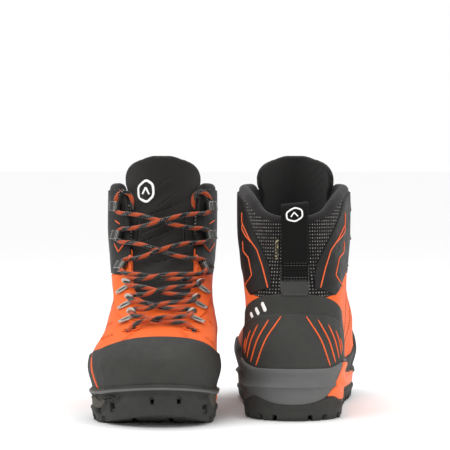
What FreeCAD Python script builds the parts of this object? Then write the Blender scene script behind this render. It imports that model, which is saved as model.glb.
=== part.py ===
import FreeCAD, Part
import math
import os

# A pair of mountaineering boots, size EU 42. Lengths are in millimetres.
# Each piece is built once for the right boot in that boot's own frame: the toe points to +Y, the outer
# side of the foot to +X, the ground is z = 0 and the leg stands on x = 0. The left boot is its mirror
# image. The two boots then take their places, side by side and facing opposite ways.

V = FreeCAD.Vector

# ---- driving dimensions -------------------------------------------------------------------------
BOOT_SPACING = 121.8        # from leg axis to leg axis, across the pair
STAGGER = 50.0              # how far the left boot's leg stands behind the right one's
PAIR_SHIFT = (0.0, 0.35)    # puts the middle of the pair's footprint on the origin
RIGHT_YAW = 178.84          # the right boot faces -Y
LEFT_YAW = -2.74            # the left boot faces +Y

UPPER_THICK = 2.4
STIFFENER_THICK = 1.4       # toe puff and heel counter
LINING_THICK = 1.4
COLLAR_PAD_DEPTH = 12.0
CAP_THICK = 2.2             # rubber over the toe and round the heel
RAND_THICK = 1.6
OVERLAY_THICK = 1.0
PIPING_PROUD = 0.8
FACING_THICK = 1.4          # the panels that carry rings and hooks
RIB_PROUD = 0.7

FORM_BOTTOM = 24.0          # the inside of the boot starts here, on top of the midsole
FORM_TOP = 234.0
SOLE_LAYER = 12.5           # outsole thickness under the heel
TREAD_DEPTH = 5.5
BOARD_THICK = 3.0
FOOTBED_THICK = 3.5
FOOTBED_CLEARANCE = 0.3     # over the board
FOOTBED_INSET = 8.2         # its edge, inside the form

TONGUE_THICK = 5.6
FLAP_HINGE_Z = 183.0        # the tongue's free top bends about this height
FLAP_NECK = 26.2            # its half width between the two ends of the lace
FLAP_SHOULDER_Z = 196.6     # above this it is as wide as the throat
FLAP_HALF_WIDTH = 32.2
FLAP_GAP = 1.0
BADGE_THICK = 0.8
LACE_RADIUS = 2.0
LOOP_WIDTH = 23.0           # the tape of the pull loop
LOOP_SEAM_Z = 137.5
LOOP_TOP_Z = 190.0
TAPE_THICK = 1.5
PATCH_THICK = 2.6           # the stitched block under the pull loop
TAG_THICK = 0.8

# ---- the form: the outer shape of the boot above the sole ----------------------------------------
# The profile seen from the side, as (height, distance along the boot).
FRONT = [(22, 145), (30, 148), (38, 153), (46, 155), (54, 153), (60, 148), (66, 139), (70, 127),
         (74, 110), (79, 93), (86, 76), (95, 58), (106, 41), (118, 24), (130, 9), (143, -3),
         (158, -12), (175, -18), (192, -22), (210, -25), (240, -28)]
BACK = [(22, -144), (30, -145), (45, -148), (60, -149), (80, -147), (100, -142), (120, -138),
        (140, -135), (160, -134.5), (180, -136), (200, -139), (240, -143)]
# The middle line seen from above, as (distance along the boot, x).
CENTRE = [(-150, 0), (-110, 0), (-60, 0.5), (-15, 1), (30, 1.5), (70, 1.5), (110, -2), (155, -8)]
# How far the instep leans to the inner side, by height, and how much of that counts along the boot.
LEAN = [(22, 0), (52, 0), (77, -5), (95, -4.5), (110, -3), (135, -1.5), (160, 0)]
LEAN_SHARE = [(-90, 0), (0, 1)]
# The crest of the instep, which lies nearer the inner side of the foot.
RIDGE = [(-28, 0), (-15, -1.5), (10, -3), (55, -4.5), (85, -5), (110, -6), (155, -9)]
# Half widths: a row for each height, with one value for each station along the boot.
STATIONS = [-150, -110, -60, -15, 30, 70, 110, 155]
HALF = [(22, [40, 40, 38, 40, 46.5, 50, 46.5, 44]),
        (30, [41, 41, 39, 41, 48.5, 52, 48.5, 46.5]),
        (45, [42.5, 42.5, 41, 43.5, 52, 55.5, 51, 48.5]),
        (60, [42.5, 42.5, 42, 44, 50.5, 52.5, 47, 44]),
        (75, [41.5, 41.5, 42.5, 43.5, 48.5, 47.5, 39, 35]),
        (90, [41, 41, 43, 43.5, 46, 43, 34, 30]),
        (108, [41, 41, 44.5, 44, 43, 38, 30, 30]),
        (130, [40, 40, 46.5, 44, 38, 34, 30, 30]),
        (160, [41, 41, 48.5, 42, 36, 30, 30, 30]),
        (200, [42, 42, 49, 42, 36, 30, 30, 30]),
        (244, [42, 42, 49, 42, 36, 30, 30, 30])]
HEEL_ROUNDING = 44
TOE_ROUNDING = [(22, 60), (46, 62), (60, 60), (75, 52), (90, 52), (110, 50), (130, 48), (244, 48)]
SECTION_HEIGHTS = [30, 38, 46, 54, 60, 66, 70, 74, 79, 86, 95, 106, 118, 130, 143, 158, 175, 192, 210]
SECTION_POINTS = 28
RISE = 0.7                  # share of an offset that also lifts the surface, for the sloping instep
SEAT = 0.02                 # clearance between bonded layers


def smooth(t, table):
    """Value at t of a smooth curve, with no overshoot, through the rows (t, value) of the table."""
    last = len(table) - 1
    if t <= table[0][0]:
        return table[0][1]
    if t >= table[last][0]:
        return table[last][1]
    i = max(k for k in range(last) if table[k][0] <= t)

    def slope(k):
        before = (table[k][1] - table[k - 1][1]) / (table[k][0] - table[k - 1][0]) if k > 0 else None
        after = (table[k + 1][1] - table[k][1]) / (table[k + 1][0] - table[k][0]) if k < last else None
        if before is None or after is None:
            return after if before is None else before
        return 0.0 if before * after <= 0 else 2 * before * after / (before + after)

    (t0, v0), (t1, v1) = table[i], table[i + 1]
    h = t1 - t0
    u = (t - t0) / h
    return ((1 + 2 * u) * (1 - u) ** 2 * v0 + u * (1 - u) ** 2 * h * slope(i)
            + u * u * (3 - 2 * u) * v1 + u * u * (u - 1) * h * slope(i + 1))


def half_width(y, z):
    return smooth(z, [(height, smooth(y, list(zip(STATIONS, row)))) for height, row in HALF])


def rounding(distance, radius):
    """Share of the full width that is left at a distance from a rounded end."""
    return math.sqrt(max(0.0, 1 - (1 - distance / radius) ** 2)) if distance < radius else 1.0


def side_x(y, z, side):
    """x of the form's wall at y and z, on the outer (+1) or inner (-1) side."""
    front = smooth(z, FRONT)
    toe = rounding(front - y, smooth(z, TOE_ROUNDING))
    heel = rounding(y - smooth(z, BACK), HEEL_ROUNDING)
    middle = smooth(y, CENTRE) + smooth(z, LEAN) * smooth(y, LEAN_SHARE)
    middle += (smooth(front, RIDGE) - middle) * (1 - toe)
    return middle + side * half_width(y, z) * toe * heel


def outline(z, offset):
    """One closed section of the form at height z, moved outward by offset."""
    back, front = smooth(z, BACK), smooth(z, FRONT)
    points = []
    for k in range(SECTION_POINTS):
        angle = 2 * math.pi * k / SECTION_POINTS
        y = (back + front) / 2 - (front - back) / 2 * math.cos(angle)
        points.append((side_x(y, z, 1 if angle < math.pi else -1), y))
    moved = []
    for k, (x, y) in enumerate(points):
        x0, y0 = points[k - 1]
        x1, y1 = points[(k + 1) % SECTION_POINTS]
        tx, ty = x1 - x0, y1 - y0
        length = math.hypot(tx, ty)
        moved.append((x + offset * ty / length, y - offset * tx / length))
    return moved


def section_wire(points, z):
    curve = Part.BSplineCurve()
    steps = [k / len(points) for k in range(len(points) + 1)]
    curve.interpolate(Points=[V(x, y, z) for x, y in points], PeriodicFlag=True, Parameters=steps)
    return Part.Wire(curve.toShape())


def form(offset, spare=4):
    """The form's solid, moved outward by offset: a number, or a function of the height. It runs past
    the form's bottom and top by spare."""
    bottoms = [FORM_BOTTOM - low for low in range(spare, -1, -4)]
    tops = [FORM_TOP + high for high in range(0, spare + 1, 4)]
    wires = []
    for z in bottoms + SECTION_HEIGHTS + tops:
        d = offset(z) if callable(offset) else offset
        wires.append(section_wire(outline(z - RISE * d, d), z))
    return Part.makeLoft(wires, True, False)


def trimmed_form(offset):
    height = Part.makeBox(400, 500, FORM_TOP - FORM_BOTTOM, V(-200, -250, FORM_BOTTOM))
    return form(offset).common(height)


def layer(inner, outer):
    """The shell between two offsets of the form."""
    return trimmed_form(outer).cut(form(inner, 8))


def prism(items, axis, start, end):
    """Solid between two planes across an axis. Its outline is a closed run of corners (a, b); a list of
    corners is one smooth curve through them."""
    place = {"X": lambda a, b: V(start, a, b), "Y": lambda a, b: V(a, start, b),
             "Z": lambda a, b: V(a, b, start)}[axis]
    way = {"X": V(end - start, 0, 0), "Y": V(0, end - start, 0), "Z": V(0, 0, end - start)}[axis]
    edges, first, pen = [], None, None
    for item in items:
        points = [place(*corner) for corner in (item if isinstance(item, list) else [item])]
        if pen is not None and pen.distanceToPoint(points[0]) > 1e-6:
            edges.append(Part.makeLine(pen, points[0]))
        if len(points) > 1:
            curve = Part.BSplineCurve()
            curve.interpolate(points)
            edges.append(curve.toShape())
        first = first or points[0]
        pen = points[-1]
    if pen.distanceToPoint(first) > 1e-6:
        edges.append(Part.makeLine(pen, first))
    return Part.Face(Part.Wire(edges)).extrude(way)


def side_view(items, start=-90, end=90):
    """Region drawn from the side, as (y, z)."""
    return prism(items, "X", start, end)


def front_view(items, start, end):
    """Region drawn from the front or back, as (x, z)."""
    return prism(items, "Y", start, end)


def mirrored(points):
    """A run of (x, z) points followed by its mirror image in x, in the opposite order."""
    return points + [(-x, z) for x, z in reversed(points)]


# ---- places on the front of the boot -------------------------------------------------------------
def front_y(x, z):
    """y of the form's front surface at x and z."""
    front = smooth(z, FRONT)
    side = 1 if x > smooth(front, RIDGE) else -1
    near, far = front, front - smooth(z, TOE_ROUNDING)
    for _ in range(40):
        middle = (near + far) / 2
        if side * (side_x(middle, z, side) - x) < 0:
            near = middle
        else:
            far = middle
    return (near + far) / 2


def on_front(x, z, offset):
    """Point over the front surface and the surface's outward normal there."""
    step = 0.5
    slope_x = (front_y(x + step, z) - front_y(x - step, z)) / (2 * step)
    slope_z = (front_y(x, z + step) - front_y(x, z - step)) / (2 * step)
    normal = V(-slope_x, 1, -slope_z).normalize()
    return V(x, front_y(x, z), z) + normal * offset, normal


def lacing_middle(z):
    """x of the line that the lacing is centred on."""
    return smooth(smooth(z, FRONT), RIDGE)


def local_frame(side, half, z):
    """Surface point, outward normal, up and sideways-outward directions of a lacing place."""
    point, normal = on_front(lacing_middle(z) + side * half, z, 0)
    up = (V(0, 0, 1) - normal * normal.z).normalize()
    out = up.cross(normal) * -side
    if out.x * side < 0:
        out = out * -1
    return point, normal, up, out


# ---- regions -------------------------------------------------------------------------------------
SEAM = [(-175, 98), (-125, 105), (-80, 119), (-50, 135), (-20, 143), (20, 143), (90, 143), (175, 143)]
RIM = [(-175, 171), (-150, 171), (-136, 172), (-125, 177), (-110, 188), (-95, 195), (-70, 200),
       (-45, 201), (-10, 201), (60, 201), (175, 201)]
THROAT = [(0, 96), (9, 97), (16, 99.5), (23, 105), (27, 115), (28, 128), (29, 150), (31, 180),
          (33.2, 192), (35.5, 198), (41, 203), (50, 206)]
FACING_EDGE = [(-66, 216), (-66, 182), (-61, 152), (-42, 128), (-12, 111), (20, 98), (50, 88),
               (78, 82.5), (112, 82)]
CAP_TOP = [(124, 82), (118, 73), (111, 67), (100, 61.5), (84, 58)]
CAP_EDGES = {1: [(84, 58), (90, 52), (95, 44), (97, 34), (97, 18)],
             -1: [(84, 58), (64, 55), (54, 49), (47, 38), (44, 18)]}
RAND_TOP = {1: [(91, 52), (80, 55.5), (60, 55), (20, 52), (-20, 47), (-50, 43)],
            -1: [(50, 49), (40, 46), (20, 43), (-20, 41), (-50, 40)]}
HEEL_CAP_EDGE = [(-175, 92), (-150, 92), (-134, 89), (-112, 80), (-96, 66), (-86, 50), (-82, 34)]
OVERLAY_BOTTOM = [(-175, 90), (-134, 91), (-108, 83), (-84, 84), (-66, 100), (-52, 118)]


def above(curve, top=260):
    return side_view([curve, (curve[-1][0], top), (curve[0][0], top)])


def below(curve, bottom=0):
    return side_view([curve, (curve[-1][0], bottom), (curve[0][0], bottom)])


def throat_opening(start=-62):
    half = [(x + lacing_middle(z), z) for x, z in THROAT]
    other = [(lacing_middle(z) - x, z) for x, z in reversed(THROAT[1:])]
    curve = other + half
    return front_view([curve, (curve[-1][0], 260), (curve[0][0], 260)], start, 130)


# ---- upper and stiffeners ------------------------------------------------------------------------
def shell():
    """The whole outer layer, open at the throat and cut to the rim."""
    return layer(-UPPER_THICK, 0).common(below(RIM)).cut(throat_opening())


def build_upper(whole):
    return whole.common(below(SEAM))


def build_ankle_cuff(whole):
    return whole.cut(below(SEAM))


def stiffener_layer():
    return layer(-UPPER_THICK - STIFFENER_THICK, -UPPER_THICK - SEAT)


def build_toe_puff():
    region = side_view([[(96, 64), (100, 50), (102, 27)], (170, 27), (170, 90), (104, 90)])
    return stiffener_layer().common(region)


def build_heel_counter():
    region = side_view([(-175, 27), (-70, 27), [(-70, 27), (-82, 60), (-104, 84), (-175, 93)]])
    return stiffener_layer().common(region)


def build_lining():
    start = -UPPER_THICK - STIFFENER_THICK - 2 * SEAT
    region = side_view([(-175, 28), (170, 28), (170, 72), (96, 72), (60, 70), (10, 84), (-30, 108),
                        (-62, 148), (-175, 148)])
    return layer(start - LINING_THICK, start).common(region).cut(tongue_region(1.0))


def build_collar_pad():
    """The padded ring round the ankle, open at the front for the tongue."""
    band = above([(-175, 150), (-40, 150)]).common(below([(y, z - 1) for y, z in RIM]))
    front_gap = front_view([(-40, 140), (40, 140), (40, 230), (-40, 230)], -67, 60)
    return layer(-COLLAR_PAD_DEPTH, -UPPER_THICK).common(band).cut(front_gap)


# ---- rubber and overlays on the outside ----------------------------------------------------------
def build_toe_cap():
    """Rubber over the toe. It reaches further back on the inner side."""
    halves = [side_view([CAP_TOP, CAP_EDGES[side], (175, 18), (175, 82)], 0, side * 90) for side in (1, -1)]
    region = halves[0].fuse(halves[1])
    return layer(0, CAP_THICK).common(region).common(above(FEATHER_LINE))


def build_side_rand():
    """A lower rubber band along each side, from behind the toe cap to the waist of the sole."""
    outer_front = [(93.5, 18), (93.5, 34), (92.5, 44), (91, 52)]
    inner_front = [(42.5, 18), (44.5, 36), (50, 49)]
    outer = side_view([RAND_TOP[1], (-74, 38), (-74, 20), outer_front], 0, 90)
    inner = side_view([RAND_TOP[-1], (-74, 38), (-74, 20), inner_front], -90, 0)
    return layer(0, RAND_THICK).common(outer.fuse(inner)).common(above(FEATHER_LINE))


def build_heel_cap():
    region = side_view([HEEL_CAP_EDGE, (-175, 34)])
    return layer(0, CAP_THICK).common(region).common(above(FEATHER_LINE))


def build_heel_ribs():
    """Five raised ribs on each side of the heel, fanning out from the heel cap's top edge."""
    ribs = []
    tops = [(10, 89.5), (20.5, 86), (29.5, 81.5), (36, 76), (40, 69)]
    feet = [(31.5, 47), (36, 50), (39, 54), (40.8, 57), (41.6, 59)]
    width = 0.75
    skin = layer(CAP_THICK, CAP_THICK + RIB_PROUD)
    for side in (-1, 1):
        for (x0, z0), (x1, z1) in zip(tops, feet):
            bow = (x0 + x1) / 2 + 0.12 * (x1 - x0)
            middle = ((z0 + z1) / 2)
            inner = [(side * (x0 - width), z0), (side * (bow - width), middle), (side * (x1 - width), z1)]
            outer = [(side * (x1 + width), z1), (side * (bow + width), middle), (side * (x0 + width), z0)]
            ribs.append(skin.common(front_view([inner, outer], -160, -92)))
    return Part.makeCompound(ribs)


def patch_region():
    top, half = LOOP_SEAM_Z - 0.4, LOOP_WIDTH / 2 + 1
    return front_view([(-half, 100), (half, 100), (half, top), (-half, top)], -170, -110)


def overlay_region():
    """The smooth panels on both sides of the ankle: a wide band that leaves the back knit bare."""
    side_band = side_view([OVERLAY_BOTTOM, [(-52, 118), (-60, 140), (-72, 170), (-76, 193)],
                           [(-76, 193), (-92, 180), (-106, 160), (-118, 135), (-131, 112), (-175, 108)]])
    return side_band


def build_cuff_overlay():
    return layer(SEAT, OVERLAY_THICK).common(overlay_region()).cut(patch_region())


def build_cuff_piping():
    """A thin raised line down each side of the ankle, from the rim to above the heel."""
    route = [(-78, 186), (-92, 172), (-104, 152), (-112, 134), (-124, 113)]
    width = 0.9
    front_edge = [(y + width, z + width / 2) for y, z in route]
    back_edge = [(y - width, z - width / 2) for y, z in reversed(route)]
    return layer(OVERLAY_THICK, OVERLAY_THICK + PIPING_PROUD).common(side_view([front_edge, back_edge]))


def build_facings():
    """The panels on both sides of the throat that carry rings and hooks."""
    gap = [(lacing_middle(90) - 15, 70), (lacing_middle(90) + 15, 70),
           (lacing_middle(90) + 15, 100), (lacing_middle(90) - 15, 100)]
    region = above(FACING_EDGE).common(below(RIM))
    return layer(0, FACING_THICK).common(region).cut(throat_opening(-70)).cut(front_view(gap, 20, 130))


# ---- tongue --------------------------------------------------------------------------------------
TONGUE_DEPTH = [(78, 2.6), (112, 2.6), (160, 7.2), (240, 7.2)]


def tongue_front(z):
    return -smooth(z, TONGUE_DEPTH)


def tongue_slab():
    """The layer that the tongue is cut from; it lies deeper towards the top."""
    outer = form(tongue_front)
    inner = form(lambda z: tongue_front(z) - TONGUE_THICK, 8)
    return outer.cut(inner).common(Part.makeBox(120, 200, 200, V(-60, -66, 72)))


def tongue_region(spare=0.0):
    """The tongue below its free top, seen from the front, wider by spare on each side."""
    lower = [(9, 80), (20, 83), (31, 96), (35, 112), (36, 130), (36.5, 150), (36, 178), (34.5, 190)]
    right = [(lacing_middle(z) + x + spare, z) for x, z in lower]
    left = [(lacing_middle(z) - x - spare, z) for x, z in reversed(lower)]
    neck, shoulder = FLAP_NECK + FLAP_GAP, FLAP_SHOULDER_Z
    top = [(33.5, shoulder), (neck, shoulder), (neck, FLAP_HINGE_Z)]
    return front_view([left, right] + mirrored(top), -66, 120)


def build_tongue(slab):
    return slab.common(tongue_region())


def build_tongue_top(slab):
    low, shoulder = FLAP_HINGE_Z + FLAP_GAP, FLAP_SHOULDER_Z + FLAP_GAP
    half = FLAP_HALF_WIDTH
    edge = [(half, shoulder), (half + 0.6, 205), (30, 214.5), (22, 220.5), (9, 223.6)]
    corners = [(-FLAP_NECK, shoulder), (-FLAP_NECK, low), (FLAP_NECK, low), (FLAP_NECK, shoulder)]
    return slab.common(front_view([mirrored(edge)] + corners, -66, 60))


def build_tongue_badge():
    """A plain raised lozenge on the front of the tongue's top."""
    middle_x, middle_z = 16.8, 194.5
    points = [(middle_x - 6, middle_z - 8), (middle_x + 5, middle_z - 9.5), (middle_x + 8.5, middle_z + 6),
              (middle_x - 2, middle_z + 9.5), (middle_x - 8.5, middle_z + 5)]
    block = form(lambda z: tongue_front(z) + BADGE_THICK).common(front_view(points, -66, 60))
    return block.cut(form(tongue_front, 8))


# ---- rings, hooks and lace -----------------------------------------------------------------------
SLOT = (22.2, 78.0)                                   # half distance and height
RINGS = [(24.2, 85.8), (26.4, 97.4), (29.2, 110.2)]
HOOKS = [(34.6, 124.2), (38.0, 152.0), (39.2, 178.8)]
RING_MAJOR, RING_MINOR, RING_OFFSET = 3.2, 0.85, 6.0
RING_PLATE_LIFT, RING_PLATE_THICK = 1.85, 0.9
HOOK_LIFT = 1.8                                       # underside of a hook's base over the form
HOOK_THICK, HOOK_GAP, HOOK_HALF_HEIGHT = 1.0, 5.0, 4.0
RIVET_RADIUS = 1.1


def slab_in_frame(corners, frame, low, high, across):
    """Extrusion of an outline given as (sideways, normal) or (sideways, up) in a lacing place's frame."""
    point, normal, up, out = frame
    second, third = (normal, up) if across == "up" else (up, normal)
    corners3 = [point + out * a + second * b + third * low for a, b in corners]
    return Part.Face(Part.makePolygon(corners3 + corners3[:1])).extrude(third * (high - low))


def ring_axis(frame):
    """The plate of a ring runs down and outward from it."""
    point, normal, up, out = frame
    return (out * math.cos(math.radians(50)) - up * math.sin(math.radians(50))).normalize()


def build_ring(side, half, z):
    frame = local_frame(side, half, z)
    point, normal, up, out = frame
    way = ring_axis(frame)
    cross = normal.cross(way)
    ring = Part.makeTorus(RING_MAJOR, RING_MINOR, point + normal * RING_OFFSET, up)
    low, length, half_plate = RING_PLATE_LIFT, 15.0, 2.4
    start = point + normal * low
    corners = [start + way * a + cross * b for a, b in
               ((0, -half_plate), (length - 2, -half_plate), (length, 0), (length - 2, half_plate),
                (0, half_plate))]
    plate = Part.Face(Part.makePolygon(corners + corners[:1])).extrude(normal * RING_PLATE_THICK)
    neck = Part.makeCylinder(1.3, RING_OFFSET - low - RING_MAJOR + RING_MINOR * 0.6, start, normal)
    return ring.fuse(plate).fuse(neck)


def rivet_place(frame, is_hook):
    point, normal, up, out = frame
    return point + (out * 3.6 if is_hook else ring_axis(frame) * 9.5)


def build_hook(side, half, z):
    frame = local_frame(side, half, z)
    base, thick, top = HOOK_LIFT, HOOK_THICK, HOOK_LIFT + HOOK_THICK + HOOK_GAP
    inner, outer = -4.2, 6.0
    profile = [(inner, base), (outer, base), (outer, base + thick), (inner + thick, base + thick),
               (inner + thick, top), (outer - 1.0, top), (outer - 0.2, top + 0.6), (outer - 1.2, top + thick),
               (inner + 0.8, top + thick), (inner, top + 0.2)]
    return slab_in_frame(profile, frame, -HOOK_HALF_HEIGHT, HOOK_HALF_HEIGHT, "up")


def lacing_places():
    """Every ring and hook as (side, half distance, height, is it a hook)."""
    return [(side, half, z, is_hook) for side in (-1, 1)
            for places, is_hook in ((RINGS, False), (HOOKS, True)) for half, z in places]


def rivet_shank(place, spare=0.0):
    side, half, z, is_hook = place
    frame = local_frame(side, half, z)
    normal = frame[1]
    top = HOOK_LIFT + HOOK_THICK if is_hook else RING_PLATE_LIFT + RING_PLATE_THICK
    low = -UPPER_THICK - 0.2 - spare
    return Part.makeCylinder(RIVET_RADIUS, top - low + spare, rivet_place(frame, is_hook) + normal * low, normal)


def rivet(place):
    side, half, z, is_hook = place
    frame = local_frame(side, half, z)
    top = HOOK_LIFT + HOOK_THICK if is_hook else RING_PLATE_LIFT + RING_PLATE_THICK
    head = Part.makeCone(2.0, 1.5, 0.35, rivet_place(frame, is_hook) + frame[1] * top, frame[1])
    return rivet_shank(place).fuse(head)


def rounded_route(points):
    """Straight runs joined by tangent arcs, each as large as its two runs allow."""
    edges, pen = [], points[0]
    for before, corner, after in zip(points, points[1:], points[2:]):
        a, b = (before - corner), (after - corner)
        run_a, run_b = a.Length, b.Length
        a, b = a.normalize(), b.normalize()
        half_turn = (math.pi - a.getAngle(b)) / 2
        reach = 0.45 * min(run_a, run_b)
        radius = reach / math.tan(half_turn)
        start, end = corner + a * reach, corner + b * reach
        centre = corner + (a + b).normalize() * (radius / math.cos(half_turn))
        middle = centre + (corner - centre).normalize() * radius
        edges.append(Part.makeLine(pen, start))
        edges.append(Part.Arc(start, middle, end).toShape())
        pen = end
    edges.append(Part.makeLine(pen, points[-1]))
    return Part.Wire(edges)


def lace_points(first_side):
    """Half of the lace: from one bottom slot, crossing at each row, to the tail behind the collar's wing."""
    side = first_side
    over = first_side > 0
    half, z = SLOT

    def place(side, half, z, offset):
        return on_front(lacing_middle(z) + side * half, z, offset)[0]

    points = [place(side, half + 6.5, z - 2.6, 2.5), place(side, half - 3, z + 1.5, 4.2)]
    stations = [(h, zz, 2.8, RING_OFFSET) for h, zz in RINGS]
    stations += [(h, zz, 6.6, HOOK_LIFT + HOOK_THICK + HOOK_GAP / 2) for h, zz in HOOKS]
    last_half, last_z = half, z + 1.0
    for row, (half, z, bend, offset) in enumerate(stations):
        low_z, high_z = last_z, z - bend
        for share in (-0.5, 0.0, 0.5):
            if row == 0 and share < 0:
                continue
            width = last_half if share < 0 else half
            height = low_z + (high_z - low_z) * (0.5 + share)
            height_off = (7.9 if over else 3.1) if share == 0 else 4.9
            points.append(place(-side if share > 0 else side, abs(share) * 1.1 * width, height, height_off))
        side = -side
        points.append(place(side, half, z - bend, offset))
        points.append(place(side, half, z + bend, offset))
        last_half, last_z = half, z + bend
        over = not over
    points.append(place(side, 34.0, 193.0, 4.4))
    points.append(place(side, 29.6, 191.0, -1.2))
    points.append(place(side, 30.2, 184.0, -4.85))
    points.append(place(side, 31.5, 177.0, -4.85))
    return points


def build_lace():
    """Both halves of the lace; their middle runs under the facing, from slot to slot."""
    halves = []
    for first_side in (-1, 1):
        route = rounded_route(lace_points(first_side))
        start = route.Edges[0]
        direction = start.tangentAt(start.FirstParameter)
        ring = Part.Wire(Part.makeCircle(LACE_RADIUS, start.valueAt(start.FirstParameter), direction))
        tube = route.makePipeShell([ring], True, False)
        print("lace half: length %.0f, volume ratio %.4f" % (
            route.Length, tube.Volume / (route.Length * math.pi * LACE_RADIUS ** 2)))
        halves.append(tube)
    return Part.makeCompound(halves)


def build_toe_lace_loops(body):
    """A small half round loop over each end slot of the lace."""
    loops = []
    for side in (-1, 1):
        points = lace_points(side)
        way = (points[1] - points[0]).normalize()
        ring = Part.makeTorus(3.3, 1.0, points[0] + way * 2.5, way)
        loops.append(ring.cut(body))
    return Part.makeCompound(loops)


# ---- heel details --------------------------------------------------------------------------------
def build_heel_strap_patch():
    return layer(0, PATCH_THICK).common(patch_region())


def build_side_tag():
    """A narrow plain tag beside the pull loop."""
    region = front_view([(12.2, 137.5), (16, 137.5), (16, 154), (12.2, 154)], -170, -110)
    return layer(0, TAG_THICK).common(region)


LOOP_HINGE_Y = -138.6


def loop_profile():
    """Outer and inner outline of the folded tape, seen from the side."""
    seam, top, t = LOOP_SEAM_Z, LOOP_TOP_Z, TAPE_THICK
    outer = [[(LOOP_HINGE_Y - t, seam), (-143.2, 150), (-147.6, 166), (-149.3, 180), (-147.6, 187.3),
              (-144.2, top), (-140.6, 187.6), (-139.0, 181), (-137.7, 166), (-137.3, 150),
              (LOOP_HINGE_Y + t, seam)]]
    inner = [[(-139.5, 144.5), (-141.7, 151), (-146.0, 166.5), (-147.7, 180), (-146.4, 186.0),
              (-144.2, top - t), (-141.8, 186.2), (-140.5, 181), (-139.2, 166.5), (-138.8, 151),
              (-138.7, 144.5)]]
    return outer, inner


def build_pull_loop():
    outer, inner = loop_profile()
    half = LOOP_WIDTH / 2
    return side_view(outer, -half, half).cut(side_view(inner, -half - 1, half + 1))


# ---- inside the boot -----------------------------------------------------------------------------
def build_insole_board():
    inside = form(-UPPER_THICK - SEAT)
    return inside.common(Part.makeBox(200, 400, BOARD_THICK, V(-100, -200, FORM_BOTTOM)))


def build_footbed():
    """Loose insole, a flat slab with the form's outline; its heel end lifts out of the boot."""
    low = FORM_BOTTOM + BOARD_THICK + FOOTBED_CLEARANCE
    return Part.Face(section_wire(outline(low, -FOOTBED_INSET), low)).extrude(V(0, 0, FOOTBED_THICK))


# ---- sole ----------------------------------------------------------------------------------------
# Heights of the sole's layers along the boot, as (y, z).
GROUND_LINE = [(-160, 3.0), (-146, 0), (-66, 0), (-60, 7), (-32, 7.5), (-24, 1.5), (-14, 0), (92, 0),
               (104, 0.6), (118, 2.6), (132, 5.9), (146, 10.2), (160, 15.5)]
TREAD_TOP = [(-160, 13), (-147, 14), (-131, 20.5), (-112, 14.5), (-70, SOLE_LAYER), (-56, 18),
             (-26, 18), (-8, 12), (96, 12), (108, 14), (116, 20), (122, 40), (160, 46)]
FEATHER_LINE = [(-160, 44), (-140, 43.5), (-125, 46.5), (-112, 50), (-98, 45), (-80, 40), (-40, 35),
                (0, 30), (40, 26.5), (80, 25.5), (105, 27), (128, 31), (160, 37.5)]
SOLE_SECTIONS = [(-1, 0.4), (6, 1.2), (14, 1.8), (24, 2.4), (36, 2.6), (52, 2.4)]


def sole_block():
    """The whole sole as one block, a little wider than the form that stands in it."""
    wires = [section_wire(outline(max(z, FORM_BOTTOM), grow), z) for z, grow in SOLE_SECTIONS]
    return Part.makeLoft(wires, True, False)


def tread_grooves():
    """Grooves across the tread and along it, which leave separate lugs."""
    grooves = []
    depth, width = TREAD_DEPTH, 4.5
    for y in (-128, -108, -88, -6, 12, 30, 48, 66, 84, 102, 120):
        height = depth + smooth(y, GROUND_LINE)
        for side, turn in ((-1, 16), (1, -16)):
            box = Part.makeBox(70, width, height + 3, V(0, -width / 2, -3))
            box.rotate(V(0, 0, 0), V(0, 0, 1), turn if side > 0 else 180 + turn)
            box.translate(V(side * 6, y, 0))
            grooves.append(box)
    for start, end in ((-156, -62), (-24, 134)):
        for x in (-15, 15):
            height = depth - 0.7
            grooves.append(Part.makeBox(4, end - start, height + 3, V(x - 2, start, -3)))
    return grooves


def build_outsole(block):
    tread = block.common(side_view(GROUND_LINE + [(160, 60), (-160, 60)]))
    tread = tread.common(side_view(TREAD_TOP + [(160, -5), (-160, -5)])).common(below(FEATHER_LINE))
    return tread.cut(trimmed_form(0)).cut(shank_solid()).cut(Part.makeCompound(tread_grooves()))


INSERT_EDGE = [(-132, 15.5), (-112, 21), (-104, 34), (-98, 47), (-88, 47.5), (-78, 36), (-40, 27), (20, 23),
               (60, 20), (84, 17)]
SHANK_BOX = ((-12, -95, 16.5), (24, 110, 3.0))


def shank_solid():
    (x, y, z), (wide, long, tall) = SHANK_BOX
    return Part.makeBox(wide, long, tall, V(x, y, z))


def insert_region():
    """The coloured insert along the inner side of the midsole, with a fin at the heel."""
    corners = [INSERT_EDGE, (84, 0), (-132, 0)]
    depth = 9.0
    inner_wall = [(side_x(y, 30, -1) + depth, y) for y in range(-134, 91, 16)]
    plan = prism([[(-90, -140), (-90, 92)], inner_wall[::-1]], "Z", 0, 70)
    return side_view(corners, -90, 0).common(plan)


def build_midsole(block):
    body = block.common(side_view(TREAD_TOP + [(160, 80), (-160, 80)])).common(below(FEATHER_LINE))
    return body.cut(trimmed_form(0)).cut(shank_solid())


# ---- placing and writing -------------------------------------------------------------------------
def place_right(shape):
    placed = shape.copy()
    placed.rotate(V(0, 0, 0), V(0, 0, 1), RIGHT_YAW)
    placed.translate(V(-BOOT_SPACING / 2 + PAIR_SHIFT[0], -STAGGER / 2 + PAIR_SHIFT[1], 0))
    return placed


def place_left(shape):
    placed = shape.mirror(V(0, 0, 0), V(1, 0, 0))
    placed.rotate(V(0, 0, 0), V(0, 0, 1), LEFT_YAW)
    placed.translate(V(BOOT_SPACING / 2 + PAIR_SHIFT[0], STAGGER / 2 + PAIR_SHIFT[1], 0))
    return placed


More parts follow.
